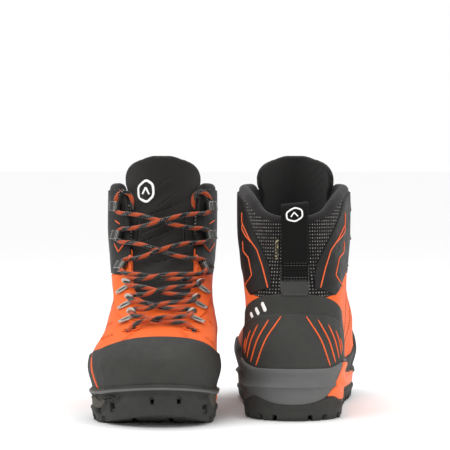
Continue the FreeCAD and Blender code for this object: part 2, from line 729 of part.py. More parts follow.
def build_pieces():
    """Every piece of the right boot, by name."""
    whole = shell()
    slab = tongue_slab()
    block = sole_block()
    body = form(0)
    places = lacing_places()
    holes = Part.makeCompound([rivet_shank(place, spare=1.0) for place in places])
    plates = {False: build_ring, True: build_hook}
    hardware = {False: [], True: []}
    for side, half, z, is_hook in places:
        piece = plates[is_hook](side, half, z)
        hardware[is_hook].append(piece.cut(rivet_shank((side, half, z, is_hook), spare=1.0)))
    midsole = build_midsole(block)
    insert = insert_region()
    return {
        "outsole": build_outsole(block),
        "midsole": midsole.cut(insert),
        "midsole_insert": midsole.common(insert),
        "shank": shank_solid(),
        "insole_board": build_insole_board(),
        "footbed": build_footbed(),
        "upper": build_upper(whole).cut(holes),
        "ankle_cuff": build_ankle_cuff(whole).cut(holes),
        "toe_puff": build_toe_puff(),
        "heel_counter": build_heel_counter(),
        "lining": build_lining(),
        "collar_pad": build_collar_pad(),
        "toe_cap": build_toe_cap(),
        "side_rand": build_side_rand(),
        "heel_cap": build_heel_cap(),
        "heel_ribs": build_heel_ribs(),
        "cuff_overlay": build_cuff_overlay(),
        "cuff_piping": build_cuff_piping(),
        "facings": build_facings().cut(holes),
        "tongue": build_tongue(slab),
        "tongue_top": build_tongue_top(slab),
        "tongue_badge": build_tongue_badge(),
        "lace_rings": Part.makeCompound(hardware[False]),
        "speed_hooks": Part.makeCompound(hardware[True]),
        "rivets": Part.makeCompound([rivet(place) for place in places]),
        "toe_lace_loops": build_toe_lace_loops(body),
        "lace": build_lace(),
        "pull_loop": build_pull_loop(),
        "heel_strap_patch": build_heel_strap_patch(),
        "side_tag": build_side_tag(),
    }


def main():
    os.makedirs("parts", exist_ok=True)
    pair = FreeCAD.BoundBox()
    for name, shape in build_pieces().items():
        for prefix, place in (("right", place_right), ("left", place_left)):
            placed = place(shape)
            solids = placed.Solids
            placed = solids[0] if len(solids) == 1 else Part.makeCompound(solids)
            pair.add(placed.BoundBox)
            placed.exportStep("parts/%s_%s.step" % (prefix, name))
        print(name, len(solids), placed.isValid(), round(placed.Volume / 1000, 2))
    print("pair", pair)


main()
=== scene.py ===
import math

import bmesh
import bpy
import numpy as np
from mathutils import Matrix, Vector
from mathutils.kdtree import KDTree


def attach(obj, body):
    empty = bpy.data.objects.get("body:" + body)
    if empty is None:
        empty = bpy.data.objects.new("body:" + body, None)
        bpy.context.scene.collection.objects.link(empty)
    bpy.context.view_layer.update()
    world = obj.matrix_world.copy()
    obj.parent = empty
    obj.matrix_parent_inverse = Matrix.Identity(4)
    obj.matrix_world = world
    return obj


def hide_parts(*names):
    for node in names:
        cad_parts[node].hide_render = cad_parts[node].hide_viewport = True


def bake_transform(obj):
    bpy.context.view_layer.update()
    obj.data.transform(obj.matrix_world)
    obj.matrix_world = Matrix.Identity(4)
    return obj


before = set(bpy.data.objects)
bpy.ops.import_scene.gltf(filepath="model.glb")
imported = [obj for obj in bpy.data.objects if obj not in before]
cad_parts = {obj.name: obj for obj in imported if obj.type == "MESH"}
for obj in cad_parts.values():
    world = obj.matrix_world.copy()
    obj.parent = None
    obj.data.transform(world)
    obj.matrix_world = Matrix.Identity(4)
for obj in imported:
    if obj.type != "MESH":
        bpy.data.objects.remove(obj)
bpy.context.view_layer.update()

# The looks of a pair of mountaineering boots. Each piece is worked out once, in millimetres, in the
# right boot's own frame: toe towards +Y, outer side of the foot towards +X, ground at z = 0, the leg
# on x = 0. It is then placed on the right boot and, mirrored, on the left one.

MM = 0.001
FAR, OUTSIDE = 1e9, -20.0           # a distance past everything, and a field value that cuts a piece off

# ---- where the two boots stand -------------------------------------------------------------------
BOOT_SPACING = 121.8
STAGGER = 50.0
PAIR_SHIFT = (0.0, 0.35)
PLACES = {
    "right": (math.radians(178.84), (-BOOT_SPACING / 2 + PAIR_SHIFT[0], -STAGGER / 2 + PAIR_SHIFT[1]), 1),
    "left": (math.radians(-2.74), (BOOT_SPACING / 2 + PAIR_SHIFT[0], STAGGER / 2 + PAIR_SHIFT[1]), -1),
}


def to_pair(points, boot):
    """Points of the right boot's frame in millimetres, placed on a boot, in metres."""
    angle, (dx, dy), mirror = PLACES[boot]
    points = np.atleast_2d(points)
    x, y = points[:, 0] * mirror, points[:, 1]
    c, s = math.cos(angle), math.sin(angle)
    return np.stack([c * x - s * y + dx, s * x + c * y + dy, points[:, 2]], 1) * MM


# ---- the form ------------------------------------------------------------------------------------
FORM_BOTTOM = 24.0
FRONT = [(22, 145), (30, 148), (38, 153), (46, 155), (54, 153), (60, 148), (66, 139), (70, 127),
         (74, 110), (79, 93), (86, 76), (95, 58), (106, 41), (118, 24), (130, 9), (143, -3),
         (158, -12), (175, -18), (192, -22), (210, -25), (240, -28)]
BACK = [(22, -144), (30, -145), (45, -148), (60, -149), (80, -147), (100, -142), (120, -138),
        (140, -135), (160, -134.5), (180, -136), (200, -139), (240, -143)]
CENTRE = [(-150, 0), (-110, 0), (-60, 0.5), (-15, 1), (30, 1.5), (70, 1.5), (110, -2), (155, -8)]
LEAN = [(22, 0), (52, 0), (77, -5), (95, -4.5), (110, -3), (135, -1.5), (160, 0)]
LEAN_SHARE = [(-90, 0), (0, 1)]
RIDGE = [(-28, 0), (-15, -1.5), (10, -3), (55, -4.5), (85, -5), (110, -6), (155, -9)]
STATIONS = [-150, -110, -60, -15, 30, 70, 110, 155]
HALF = [(22, [40, 40, 38, 40, 46.5, 50, 46.5, 44]),
        (30, [41, 41, 39, 41, 48.5, 52, 48.5, 46.5]),
        (45, [42.5, 42.5, 41, 43.5, 52, 55.5, 51, 48.5]),
        (60, [42.5, 42.5, 42, 44, 50.5, 52.5, 47, 44]),
        (75, [41.5, 41.5, 42.5, 43.5, 48.5, 47.5, 39, 35]),
        (90, [41, 41, 43, 43.5, 46, 43, 34, 30]),
        (108, [41, 41, 44.5, 44, 43, 38, 30, 30]),
        (130, [40, 40, 46.5, 44, 38, 34, 30, 30]),
        (160, [41, 41, 48.5, 42, 36, 30, 30, 30]),
        (200, [42, 42, 49, 42, 36, 30, 30, 30]),
        (244, [42, 42, 49, 42, 36, 30, 30, 30])]
HEEL_ROUNDING = 44.0
TOE_ROUNDING = [(22, 60), (46, 62), (60, 60), (75, 52), (90, 52), (110, 50), (130, 48), (244, 48)]


def smooth_rows(t, knots, rows):
    """Smooth curves without overshoot: rows holds, for each knot, one value or a value for each t."""
    knots = np.asarray(knots, float)
    rows = np.asarray(rows, float)
    t = np.clip(np.asarray(t, float), knots[0], knots[-1])
    if rows.ndim == 1:
        rows = np.broadcast_to(rows[:, None], (len(knots), t.size)).reshape((len(knots),) + t.shape)
    h = np.diff(knots).reshape((-1,) + (1,) * t.ndim)
    rise = np.diff(rows, axis=0) / h
    product = rise[:-1] * rise[1:]
    total = np.where(product > 0, rise[:-1] + rise[1:], 1.0)
    inner = np.where(product > 0, 2 * product / total, 0.0)
    slopes = np.concatenate([rise[:1], inner, rise[-1:]])
    i = np.clip(np.searchsorted(knots, t, side="right") - 1, 0, len(knots) - 2)
    step = np.diff(knots)[i]
    u = (t - knots[i]) / step

    def pick(table, index):
        return np.take_along_axis(table, index[None], 0)[0]

    v0, v1 = pick(rows, i), pick(rows, i + 1)
    s0, s1 = pick(slopes, i), pick(slopes, i + 1)
    return ((1 + 2 * u) * (1 - u) ** 2 * v0 + u * (1 - u) ** 2 * step * s0
            + u * u * (3 - 2 * u) * v1 + u * u * (u - 1) * step * s1)


def smooth(t, table):
    knots, values = zip(*table)
    return smooth_rows(t, knots, values)


def half_width(y, z):
    return smooth_rows(z, [height for height, row in HALF],
                       [smooth(y, list(zip(STATIONS, row))) for height, row in HALF])


def edge_round(distance, width):
    """0 at an edge, 1 from width inwards, along a quarter circle."""
    return np.sqrt(np.clip(1 - np.clip(1 - distance / width, 0, 1) ** 2, 0, 1))


def bell(distance, width):
    return np.exp(-(distance / width) ** 2)


def fade(x, start, end):
    """0 up to start, 1 from end on."""
    return np.clip((x - start) / (end - start), 0, 1)


def side_x(y, z, side):
    front = smooth(z, FRONT)
    toe = edge_round(front - y, smooth(z, TOE_ROUNDING))
    heel = edge_round(y - smooth(z, BACK), HEEL_ROUNDING)
    middle = smooth(y, CENTRE) + smooth(z, LEAN) * smooth(y, LEAN_SHARE)
    middle = middle + (smooth(front, RIDGE) - middle) * (1 - toe)
    return middle + side * half_width(y, z) * toe * heel


def form_point(s, z):
    """Point of the form: s runs once round the section, from 0 at the heel over 0.5 at the toe."""
    back, front = smooth(z, BACK), smooth(z, FRONT)
    y = (back + front) / 2 - (front - back) / 2 * np.cos(2 * math.pi * s)
    side = np.where(np.mod(s, 1.0) < 0.5, 1.0, -1.0)
    return np.stack([side_x(y, z, side), y, z], -1)


SOLE_GROWTH = [(-1, 0.4), (6, 1.2), (14, 1.8), (24, 2.4), (36, 2.6), (52, 2.4)]


def sole_point(s, z):
    """Point of the sole's side wall, which flares a little below the form."""
    step = 0.002
    at = np.maximum(z, FORM_BOTTOM)
    here = form_point(s, at)
    along = form_point(s + step, at) - form_point(s - step, at)
    length = np.hypot(along[..., 0], along[..., 1])
    growth = smooth(z, SOLE_GROWTH)
    here[..., 0] += growth * along[..., 1] / length
    here[..., 1] -= growth * along[..., 0] / length
    here[..., 2] = z
    return here


def normals(point, s, z):
    ds, dz = 0.0015, 0.3
    across = point(s + ds, z) - point(s - ds, z)
    up = point(s, z + dz) - point(s, z - dz)
    n = np.cross(across, up)
    return n / np.linalg.norm(n, axis=-1, keepdims=True)


def lifted(point, s, z, height):
    s, z = np.asarray(s, float), np.asarray(z, float)
    return point(s, z) + normals(point, s, z) * np.broadcast_to(height, s.shape)[..., None]


def run_along(points):
    """Length from the first point to each point of a run."""
    return np.concatenate([[0], np.cumsum(np.linalg.norm(np.diff(points, axis=0), axis=1))])


def lacing_middle(z):
    return smooth(smooth(z, FRONT), RIDGE)


# ---- from a view to the surface ------------------------------------------------------------------
def from_side(y, z, side):
    """Section place of the surface point that a side view shows at y and z."""
    back, front = smooth(z, BACK), smooth(z, FRONT)
    s = np.arccos(np.clip(((back + front) / 2 - y) / ((front - back) / 2), -1, 1)) / (2 * math.pi)
    return s if side > 0 else 1 - s


def from_end(x, z, front):
    """Section place of the surface point that a view from the front or from the back shows."""
    x, z = np.broadcast_arrays(np.asarray(x, float), np.asarray(z, float))
    end = smooth(z, FRONT) if front else smooth(z, BACK)
    reach = -smooth(z, TOE_ROUNDING) if front else np.full(z.shape, HEEL_ROUNDING)
    middle = side_x(end, z, 1.0)
    side = np.where(x > middle, 1.0, -1.0)
    near, far = end, end + reach
    for _ in range(40):
        half = (near + far) / 2
        short = side * (side_x(half, z, side) - x) < 0
        near = np.where(short, half, near)
        far = np.where(short, far, half)
    y = (near + far) / 2
    s = from_side(y, z, 1)
    return np.where(side > 0, s, 1 - s)


def line_on(view, corners, rounded=True, spacing=1.5, side=1):
    """(s, z) along a line drawn in a view: "side" takes (y, z), "front" and "back" take (x, z)."""
    corners = np.array(corners, float)
    run = run_along(corners)
    t = np.linspace(0, run[-1], max(2, int(run[-1] / spacing) + 1))
    if rounded:
        a, b = smooth_rows(t, run, corners[:, 0]), smooth_rows(t, run, corners[:, 1])
    else:
        a, b = np.interp(t, run, corners[:, 0]), np.interp(t, run, corners[:, 1])
    if view == "side":
        return from_side(a, b, side), b
    return from_end(a, b, view == "front"), b


# ---- meshes --------------------------------------------------------------------------------------
class Mesh:
    """Vertices in millimetres, faces as lists of indices, and a finish and a UV place for each corner."""

    def __init__(self):
        self.points, self.faces, self.finish, self.uv = [], [], [], []
        self.count = 0

    def add(self, points, faces, finish=0, uv=None):
        points = np.asarray(points, float).reshape(-1, 3)
        faces = [np.asarray(group) for group in (faces if isinstance(faces, list) else [faces])]
        for group in faces:
            if len(group):
                self.faces.append(group + self.count)
                self.finish.append(np.full(len(group), finish) if np.isscalar(finish) else finish)
                where = np.zeros((len(points), 2)) if uv is None else np.asarray(uv, float)
                self.uv.append(where[group])
        self.points.append(points)
        self.count += len(points)
        return self


def split(s, z, tri, f, both=False, more=()):
    """Cuts every triangle along f = 0 and keeps the part above it, or both parts."""
    inside = f > 0
    count = inside[tri].sum(1)
    mixed = tri[(count == 1) | (count == 2)]
    lone_inside = count[(count == 1) | (count == 2)] == 1
    turn = np.argmax(inside[mixed] == lone_inside[:, None], axis=1)
    rows = np.arange(len(mixed))
    a, b, c = (mixed[rows, (turn + k) % 3] for k in range(3))
    pairs = np.concatenate([np.stack([a, b], 1), np.stack([a, c], 1)])
    ordered = np.sort(pairs, axis=1)
    edges, where = np.unique(ordered, axis=0, return_inverse=True)
    where = where.reshape(-1)
    p, q = edges[:, 0], edges[:, 1]
    share = f[p] / (f[p] - f[q]) if len(edges) else np.zeros(0)
    turn_s = s[q] - s[p]
    new_s = s[p] + share * (turn_s - np.round(turn_s))
    new_z = z[p] + share * (z[q] - z[p])
    extra = [np.concatenate([m, m[p] + share * (m[q] - m[p])]) for m in more]
    ab, ac = where[:len(a)] + len(s), where[len(a):] + len(s)
    corner = np.stack([a, ab, ac], 1)
    rest = np.concatenate([np.stack([ab, b, c], 1), np.stack([ab, c, ac], 1)])
    twice = np.concatenate([lone_inside, lone_inside])
    kept = [tri[count == 3], corner[lone_inside], rest[~twice]]
    if both:
        kept += [tri[count == 0], corner[~lone_inside], rest[twice]]
    tri = np.concatenate(kept)
    s, z = np.concatenate([s, new_s]), np.concatenate([z, new_z])
    used, tri = np.unique(tri, return_inverse=True)
    tri = tri.reshape(-1, 3)
    return s[used], z[used], tri, [m[used] for m in extra]


def clean_triangles(points, tri):
    """Drops triangles with no area."""
    a, b, c = points[tri[:, 0]], points[tri[:, 1]], points[tri[:, 2]]
    area = np.linalg.norm(np.cross(b - a, c - a), axis=1)
    return tri[area > 1e-7]


def rim_edges(tri):
    """Directed edges that only one triangle has."""
    edges = np.concatenate([tri[:, [0, 1]], tri[:, [1, 2]], tri[:, [2, 0]]])
    size = int(tri.max()) + 1
    key, back = edges[:, 0] * size + edges[:, 1], edges[:, 1] * size + edges[:, 0]
    return edges[~np.isin(key, back)]


def near_distance(points, targets):
    tree = KDTree(len(targets))
    for i, target in enumerate(targets):
        tree.insert(target, i)
    tree.balance()
    return np.array([tree.find(p)[2] for p in points])


def line_distance(points, line):
    """Shortest distance from each point to a run of 3-D points."""
    best = np.full(len(points), FAR)
    for a, b in zip(line[:-1], line[1:]):
        d = b - a
        t = np.clip((points - a) @ d / max(d @ d, 1e-12), 0, 1)
        best = np.minimum(best, np.linalg.norm(points - a - t[:, None] * d, axis=1))
    return best


PERIMETER = 700.0
_heights = np.linspace(0, 240, 481)
_profile = run_along(np.stack([smooth(_heights, FRONT), _heights], 1))


def uv_of(s, z):
    """Millimetres round and up the surface, for weaves. The front share follows the instep's slope."""
    front = 0.5 - 0.5 * np.cos(2 * math.pi * s)
    up = np.interp(z, _heights, _profile)
    return np.stack([s * PERIMETER, z + (up - z) * front ** 4], -1)


def unwrap(uv, tri):
    """Keeps the UV places of a triangle together where the section closes."""
    corners = uv[tri].copy()
    shift = corners[:, :, 0] - corners[:, :1, 0]
    corners[:, :, 0] -= np.round(shift / PERIMETER) * PERIMETER
    return corners


def grid(columns, heights, start=0.0, end=1.0):
    """Triangles over a part of the section; a whole turn closes on itself."""
    whole = abs(end - start - 1.0) < 1e-9
    s = np.linspace(start, end, columns + 1)[:columns if whole else columns + 1]
    n, m = len(s), len(heights)
    i, j = np.meshgrid(np.arange(n if whole else n - 1), np.arange(m - 1), indexing="ij")
    i, j = i.ravel(), j.ravel()
    k = (i + 1) % n
    a, b, c, d = i * m + j, k * m + j, k * m + j + 1, i * m + j + 1
    flip = (i + j) % 2 == 0
    one = np.where(flip[:, None], np.stack([a, b, c], 1), np.stack([a, b, d], 1))
    two = np.where(flip[:, None], np.stack([a, c, d], 1), np.stack([b, c, d], 1))
    ss, zz = np.meshgrid(s, heights, indexing="ij")
    return ss.ravel().copy(), zz.ravel().copy(), np.concatenate([one, two])


def even_heights(low, high, step):
    """Heights spaced by the run of the front profile, so that the sloping instep gets enough rows."""
    a, b = np.interp([low, high], _heights, _profile)
    rows = max(2, int((b - a) / step))
    return np.interp(np.linspace(a, b, rows + 1), _profile, _heights)


def panel(mesh, region, thick, lift=0.0, edge=1.2, under=-0.4, point=form_point, span=(24.0, 234.0),
          turn=(0.0, 1.0), step=2.8, relief=None, lines=(), pillow=False, finish=0, low_edge=0.25,
          under_finish=None):
    """A piece that lies on the surface, with rounded edges, closed underneath. region(s, z, points) is
    above 0 inside. lines is a list of (run of 3-D points, half widths to cut the mesh at)."""
    columns = max(8, int((turn[1] - turn[0]) * PERIMETER / step))
    s, z, tri = grid(columns, even_heights(span[0], span[1], step), turn[0], turn[1])
    s, z, tri, _ = split(s, z, tri, region(s, z, point(s, z)))
    flat = point(s, z)
    tri = clean_triangles(flat, tri)
    rim = rim_edges(tri)
    ends = flat[rim]
    targets = np.concatenate([ends[:, 0] + (ends[:, 1] - ends[:, 0]) * t for t in (0, 0.34, 0.67)])
    distance = near_distance(flat, targets)
    distance[np.unique(rim)] = 0
    for share in (0.13, 0.42, 1.0):
        s, z, tri, (distance,) = split(s, z, tri, distance - edge * share + 1e-9, True, (distance,))
    for run, widths in lines:
        for width in widths:
            away = line_distance(point(s, z), run) - width
            s, z, tri, (distance,) = split(s, z, tri, away, True, (distance,))
    flat = point(s, z)
    tri = clean_triangles(flat, tri)
    used, tri = np.unique(tri, return_inverse=True)
    tri = tri.reshape(-1, 3)
    s, z, distance, flat = s[used], z[used], distance[used], flat[used]
    normal = normals(point, s, z)
    rounded = low_edge + (1 - low_edge) * edge_round(distance, edge)
    base = lift(s, z) if callable(lift) else lift
    depth = thick(s, z) if callable(thick) else thick
    bumps = relief(s, z, flat, distance) if relief else 0.0
    if pillow:
        top = base + depth * (rounded - 1) / 2 + bumps * rounded
        bottom = base - depth * (1 + rounded) / 2
    else:
        top = base + depth * rounded + bumps * np.clip(distance / edge, 0, 1)
        bottom = np.broadcast_to(under(s, z) if callable(under) else under, s.shape)
    upper = flat + normal * np.broadcast_to(top, s.shape)[:, None]
    lower = flat + normal * bottom[:, None]
    count = len(s)
    rim = rim_edges(tri)
    walls = np.stack([rim[:, 1], rim[:, 0], rim[:, 0] + count, rim[:, 1] + count], 1)
    uv = uv_of(s, z)
    corners = unwrap(uv, tri)
    mesh.points.append(np.concatenate([upper, lower]))
    for faces, places in ((tri, corners), (tri[:, ::-1] + count, corners[:, ::-1])):
        mesh.faces.append(faces + mesh.count)
        mesh.uv.append(places)
        mesh.finish.append(np.full(len(faces), finish))
    if under_finish is not None:
        mesh.finish[-1][:] = under_finish
    both = np.concatenate([uv, uv])
    wall_uv = both[walls]
    wall_uv[:, :, 0] -= np.round((wall_uv[:, :, 0] - wall_uv[:, :1, 0]) / PERIMETER) * PERIMETER
    mesh.faces.append(walls + mesh.count)
    mesh.uv.append(wall_uv)
    mesh.finish.append(np.full(len(walls), finish))
    mesh.count += 2 * count
    return mesh


# ---- regions -------------------------------------------------------------------------------------
def curve(corners, spacing=3.0):
    """A smooth run through the corners, as points."""
    corners = np.array(corners, float)
    run = run_along(corners)
    t = np.linspace(0, run[-1], max(2, int(run[-1] / spacing) + 1))
    return list(zip(smooth_rows(t, run, corners[:, 0]), smooth_rows(t, run, corners[:, 1])))


def within(corners, a, b):
    """Distance in the view to a closed outline, above 0 inside."""
    corners = np.array(corners, float)
    inside = np.zeros(a.shape, bool)
    best = np.full(a.shape, FAR)
    for (x0, y0), (x1, y1) in zip(corners, np.roll(corners, -1, axis=0)):
        crosses = (y0 > b) != (y1 > b)
        safe = (y1 - y0) if y1 != y0 else 1e-12
        inside ^= crosses & (a < (x1 - x0) * (b - y0) / safe + x0)
        dx, dy = x1 - x0, y1 - y0
        t = np.clip(((a - x0) * dx + (b - y0) * dy) / max(dx * dx + dy * dy, 1e-12), 0, 1)
        best = np.minimum(best, np.hypot(a - x0 - t * dx, b - y0 - t * dy))
    return np.where(inside, best, -best)


def over(table, a, b):
    """Height over a curve drawn as (a, b)."""
    slope = (smooth(a + 0.5, table) - smooth(a - 0.5, table))
    return (b - smooth(a, table)) / np.sqrt(1 + slope ** 2)


SEAM = [(-175, 98), (-125, 105), (-80, 119), (-50, 135), (-20, 143), (20, 143), (90, 143), (175, 143)]
RIM = [(-175, 169), (-150, 169), (-136, 170), (-125, 174.5), (-110, 184.5), (-95, 191), (-70, 196.5),
       (-45, 198), (-10, 198), (60, 198), (175, 198)]
THROAT = [(0, 96), (9, 97), (16, 99.5), (23, 105), (27, 115), (28, 128), (29, 150), (31, 180),
          (33.2, 192), (34.0, 198), (35.5, 203), (40, 206)]
FACING_EDGE = [(-67, 216), (-66, 182), (-61, 152), (-42, 128), (-12, 111), (20, 98), (50, 88),
               (78, 82.5), (112, 82)]
CAP_TOP = [(124, 82), (118, 73), (111, 67), (100, 61.5), (84, 58)]
CAP_EDGES = {1: [(84, 58), (93, 53), (100, 46), (103.5, 36), (104, 18)],
             -1: [(84, 58), (64, 55), (54, 49), (47, 38), (44, 18)]}
FEATHER = [(-160, 44), (-140, 43.5), (-125, 46.5), (-112, 50), (-98, 45), (-80, 40), (-40, 35),
           (0, 30), (40, 26.5), (80, 25.5), (105, 27), (128, 31), (160, 37.5)]


def throat(points):
    """Above 0 inside the opening for the tongue."""
    x = np.abs(points[:, 0] - lacing_middle(points[:, 2]))
    half = curve(THROAT, 2.0)
    outline = [(0, 96)] + half[1:] + [(50, 260), (-1, 260), (-1, 96)]
    return np.where(points[:, 1] > -68, within(outline, x, points[:, 2]), OUTSIDE)


# ---- building Blender objects --------------------------------------------------------------------
MATERIALS = {}


def publish(name, mesh, materials, body, replaced=(), sharp=40):
    """Makes the piece on both boots. materials are listed in the order of the mesh's finishes."""
    made = []
    points = np.concatenate(mesh.points)
    for boot in PLACES:
        data = bpy.data.meshes.new(boot + "_" + name)
        flip = PLACES[boot][2] < 0
        loops, starts, sizes, finish, uv = [], [], [], [], []
        total = 0
        for faces, kinds, places in zip(mesh.faces, mesh.finish, mesh.uv):
            if flip:
                faces, places = faces[:, ::-1], places[:, ::-1]
            n, k = faces.shape
            loops.append(faces.ravel())
            starts.append(total + np.arange(n) * k)
            sizes.append(np.full(n, k))
            finish.append(kinds)
            uv.append(places.reshape(-1, 2))
            total += n * k
        loops, starts, sizes = np.concatenate(loops), np.concatenate(starts), np.concatenate(sizes)
        data.vertices.add(len(points))
        data.vertices.foreach_set("co", to_pair(points, boot).ravel())
        data.loops.add(total)
        data.loops.foreach_set("vertex_index", loops.astype(np.int32))
        data.polygons.add(len(starts))
        data.polygons.foreach_set("loop_start", starts.astype(np.int32))
        data.polygons.foreach_set("loop_total", sizes.astype(np.int32))
        data.polygons.foreach_set("material_index", np.concatenate(finish).astype(np.int32))
        data.polygons.foreach_set("use_smooth", np.ones(len(starts), bool))
        layer = data.uv_layers.new(name="surface")
        layer.data.foreach_set("uv", (np.concatenate(uv) * MM).ravel())
        data.update(calc_edges=True)
        data.validate(clean_customdata=False)
        data.set_sharp_from_angle(angle=math.radians(sharp))
        for material in materials:
            data.materials.append(MATERIALS[material])
        piece = bpy.data.objects.new(boot + "_" + name, data)
        bpy.context.collection.objects.link(piece)
        if replaced:
            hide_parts(*[boot + "_" + node for node in replaced])
        if isinstance(body, str):
            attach(piece, boot + "_" + body)
        made.append(piece)
    return made


# ---- tubes, lofts and small solids ---------------------------------------------------------------
def round_angles(count):
    return np.arange(count) * 2 * math.pi / count


def frames_along(points, up=None):
    """Tangents and two cross directions along a run of points; up fixes one of them where it is given."""
    points = np.asarray(points, float)
    tangents = np.gradient(points, axis=0)
    tangents /= np.linalg.norm(tangents, axis=1, keepdims=True) + 1e-12
    if up is not None:
        first = np.cross(tangents, up)
        first /= np.linalg.norm(first, axis=1, keepdims=True) + 1e-12
        return tangents, first, np.cross(first, tangents)
    guess = np.array([0, 0, 1.0]) if abs(tangents[0, 2]) < 0.9 else np.array([1.0, 0, 0])
    first = [np.cross(tangents[0], guess)]
    for t in tangents:
        v = first[-1] - t * (first[-1] @ t)
        first.append(v / np.linalg.norm(v))
    first = np.array(first[1:])
    return tangents, first, np.cross(tangents, first)


def loft(mesh, rings, finish=0, uv=None, closed=False):
    """Skin over rings that all have the same number of points."""
    rings = np.asarray(rings, float)
    n, k = rings.shape[:2]
    i, j = np.meshgrid(np.arange(n if closed else n - 1), np.arange(k), indexing="ij")
    i, j = i.ravel(), j.ravel()
    a, b = (i + 1) % n, (j + 1) % k
    quads = np.stack([i * k + j, a * k + j, a * k + b, i * k + b], 1)
    if uv is None:
        corners = np.zeros((len(quads), 4, 2))
    else:
        along, round_ = uv
        corners = np.stack([np.stack([along[u], round_[v]], 1)
                            for u, v in ((i, j), (a, j), (a, j + 1), (i, j + 1))], 1)
    mesh.faces.append(quads + mesh.count)
    mesh.uv.append(corners)
    mesh.finish.append(np.full(len(quads), finish))
    points = [rings.reshape(-1, 3)]
    if not closed:
        points.append(np.stack([rings[0].mean(0), rings[-1].mean(0)]))
        j = np.arange(k)
        b = (j + 1) % k
        low = np.stack([np.full(k, n * k), j, b], 1)
        high = np.stack([np.full(k, n * k + 1), (n - 1) * k + b, (n - 1) * k + j], 1)
        for fan in (low, high):
            mesh.faces.append(fan + mesh.count)
            mesh.uv.append(np.zeros((k, 3, 2)))
            mesh.finish.append(np.full(k, finish))
    mesh.points.append(np.concatenate(points))
    mesh.count += sum(len(p) for p in points)
    return mesh


def tube(mesh, points, radius, sides=10, finish=0, flat=1.0, up=None, closed=False):
    """Tube along points. radius is a number, a value for each point, or a function (run, turn)."""
    points = np.asarray(points, float)
    run = run_along(points)
    tangents, first, second = frames_along(points, up)
    if closed:
        tangents = np.roll(points, -1, 0) - np.roll(points, 1, 0)
        tangents /= np.linalg.norm(tangents, axis=1, keepdims=True)
        first = np.cross(tangents, up)
        first /= np.linalg.norm(first, axis=1, keepdims=True)
        second = np.cross(first, tangents)
    turn = np.arange(sides) / sides
    if callable(radius):
        r = radius(run[:, None], turn[None, :])
    else:
        r = np.broadcast_to(np.asarray(radius, float).reshape(-1, 1), (len(points), sides))
    c, s = np.cos(2 * math.pi * turn), np.sin(2 * math.pi * turn)
    rings = (points[:, None] + first[:, None] * (r * c)[:, :, None]
             + second[:, None] * (r * s * flat)[:, :, None])
    return loft(mesh, rings, finish, (run, np.arange(sides + 1) / sides * 1000.0), closed)


def piping(mesh, places, width, height, lift=0.0, point=form_point, ends=1.2):
    """A raised rounded line on the surface; it thins out at its two ends."""
    s, z = places
    points = lifted(point, s, z, lift)
    up = normals(point, s, z)
    run = run_along(points)
    radius = width * edge_round(np.minimum(run, run[-1] - run) + 0.15, ends)
    return tube(mesh, points, radius, 8, 0, height / width, up)


def resample(points, spacing):
    points = np.asarray(points, float)
    run = run_along(points)
    t = np.linspace(0, run[-1], max(2, int(run[-1] / spacing) + 1))
    return np.stack([np.interp(t, run, points[:, k]) for k in range(3)], 1)


def stitches(mesh, places, lift, length, gap, radius):
    """A row of short threads along a line on the surface."""
    s, z = places
    path = lifted(form_point, s, z, lift)
    up = normals(form_point, s, z)
    run = run_along(path)
    shape = np.array([(0, 0.35, -0.25), (0.18, 0.9, 0), (0.5, 1, 0.12), (0.82, 0.9, 0), (1, 0.35, -0.25)])
    start = 0.5 * gap
    while start + length < run[-1]:
        t = start + length * shape[:, 0]
        centre = np.stack([np.interp(t, run, path[:, k]) for k in range(3)], 1)
        rise = np.stack([np.interp(t, run, up[:, k]) for k in range(3)], 1)
        tube(mesh, centre + rise * shape[:, 2:3], radius * shape[:, 1], 6, up=rise)
        start += length + gap
    return mesh


def solid(mesh, outline, direction, bevel=0.25, finish=0, bevel_finish=None, segments=2):
    """Straight solid over a flat outline of 3-D points, with its edges rounded off."""
    work = bmesh.new()
    outline = np.asarray(outline, float)
    base = [work.verts.new(p) for p in outline]
    top = [work.verts.new(p) for p in outline + np.asarray(direction, float)]
    work.faces.new(base[::-1])
    work.faces.new(top)
    for i in range(len(base)):
        j = (i + 1) % len(base)
        work.faces.new((base[i], base[j], top[j], top[i]))
    bmesh.ops.recalc_face_normals(work, faces=work.faces)
    for face in work.faces:
        face.material_index = finish
    bmesh.ops.bevel(work, geom=list(work.edges), offset=bevel, segments=segments, profile=0.5,
                    affect="EDGES", clamp_overlap=True,
                    material=-1 if bevel_finish is None else bevel_finish)
    bmesh.ops.triangulate(work, faces=work.faces)
    work.verts.index_update()
    points = np.array([v.co for v in work.verts])
    faces = np.array([[v.index for v in f.verts] for f in work.faces])
    kinds = np.array([f.material_index for f in work.faces])
    work.free()
    return mesh.add(points, faces, kinds)


# ---- materials -----------------------------------------------------------------------------------
def srgb(red, green, blue):
    """Linear colour from the usual 0 to 255 values."""
    values = [v / 255 for v in (red, green, blue)]
    return [v / 12.92 if v <= 0.04045 else ((v + 0.055) / 1.055) ** 2.4 for v in values] + [1.0]


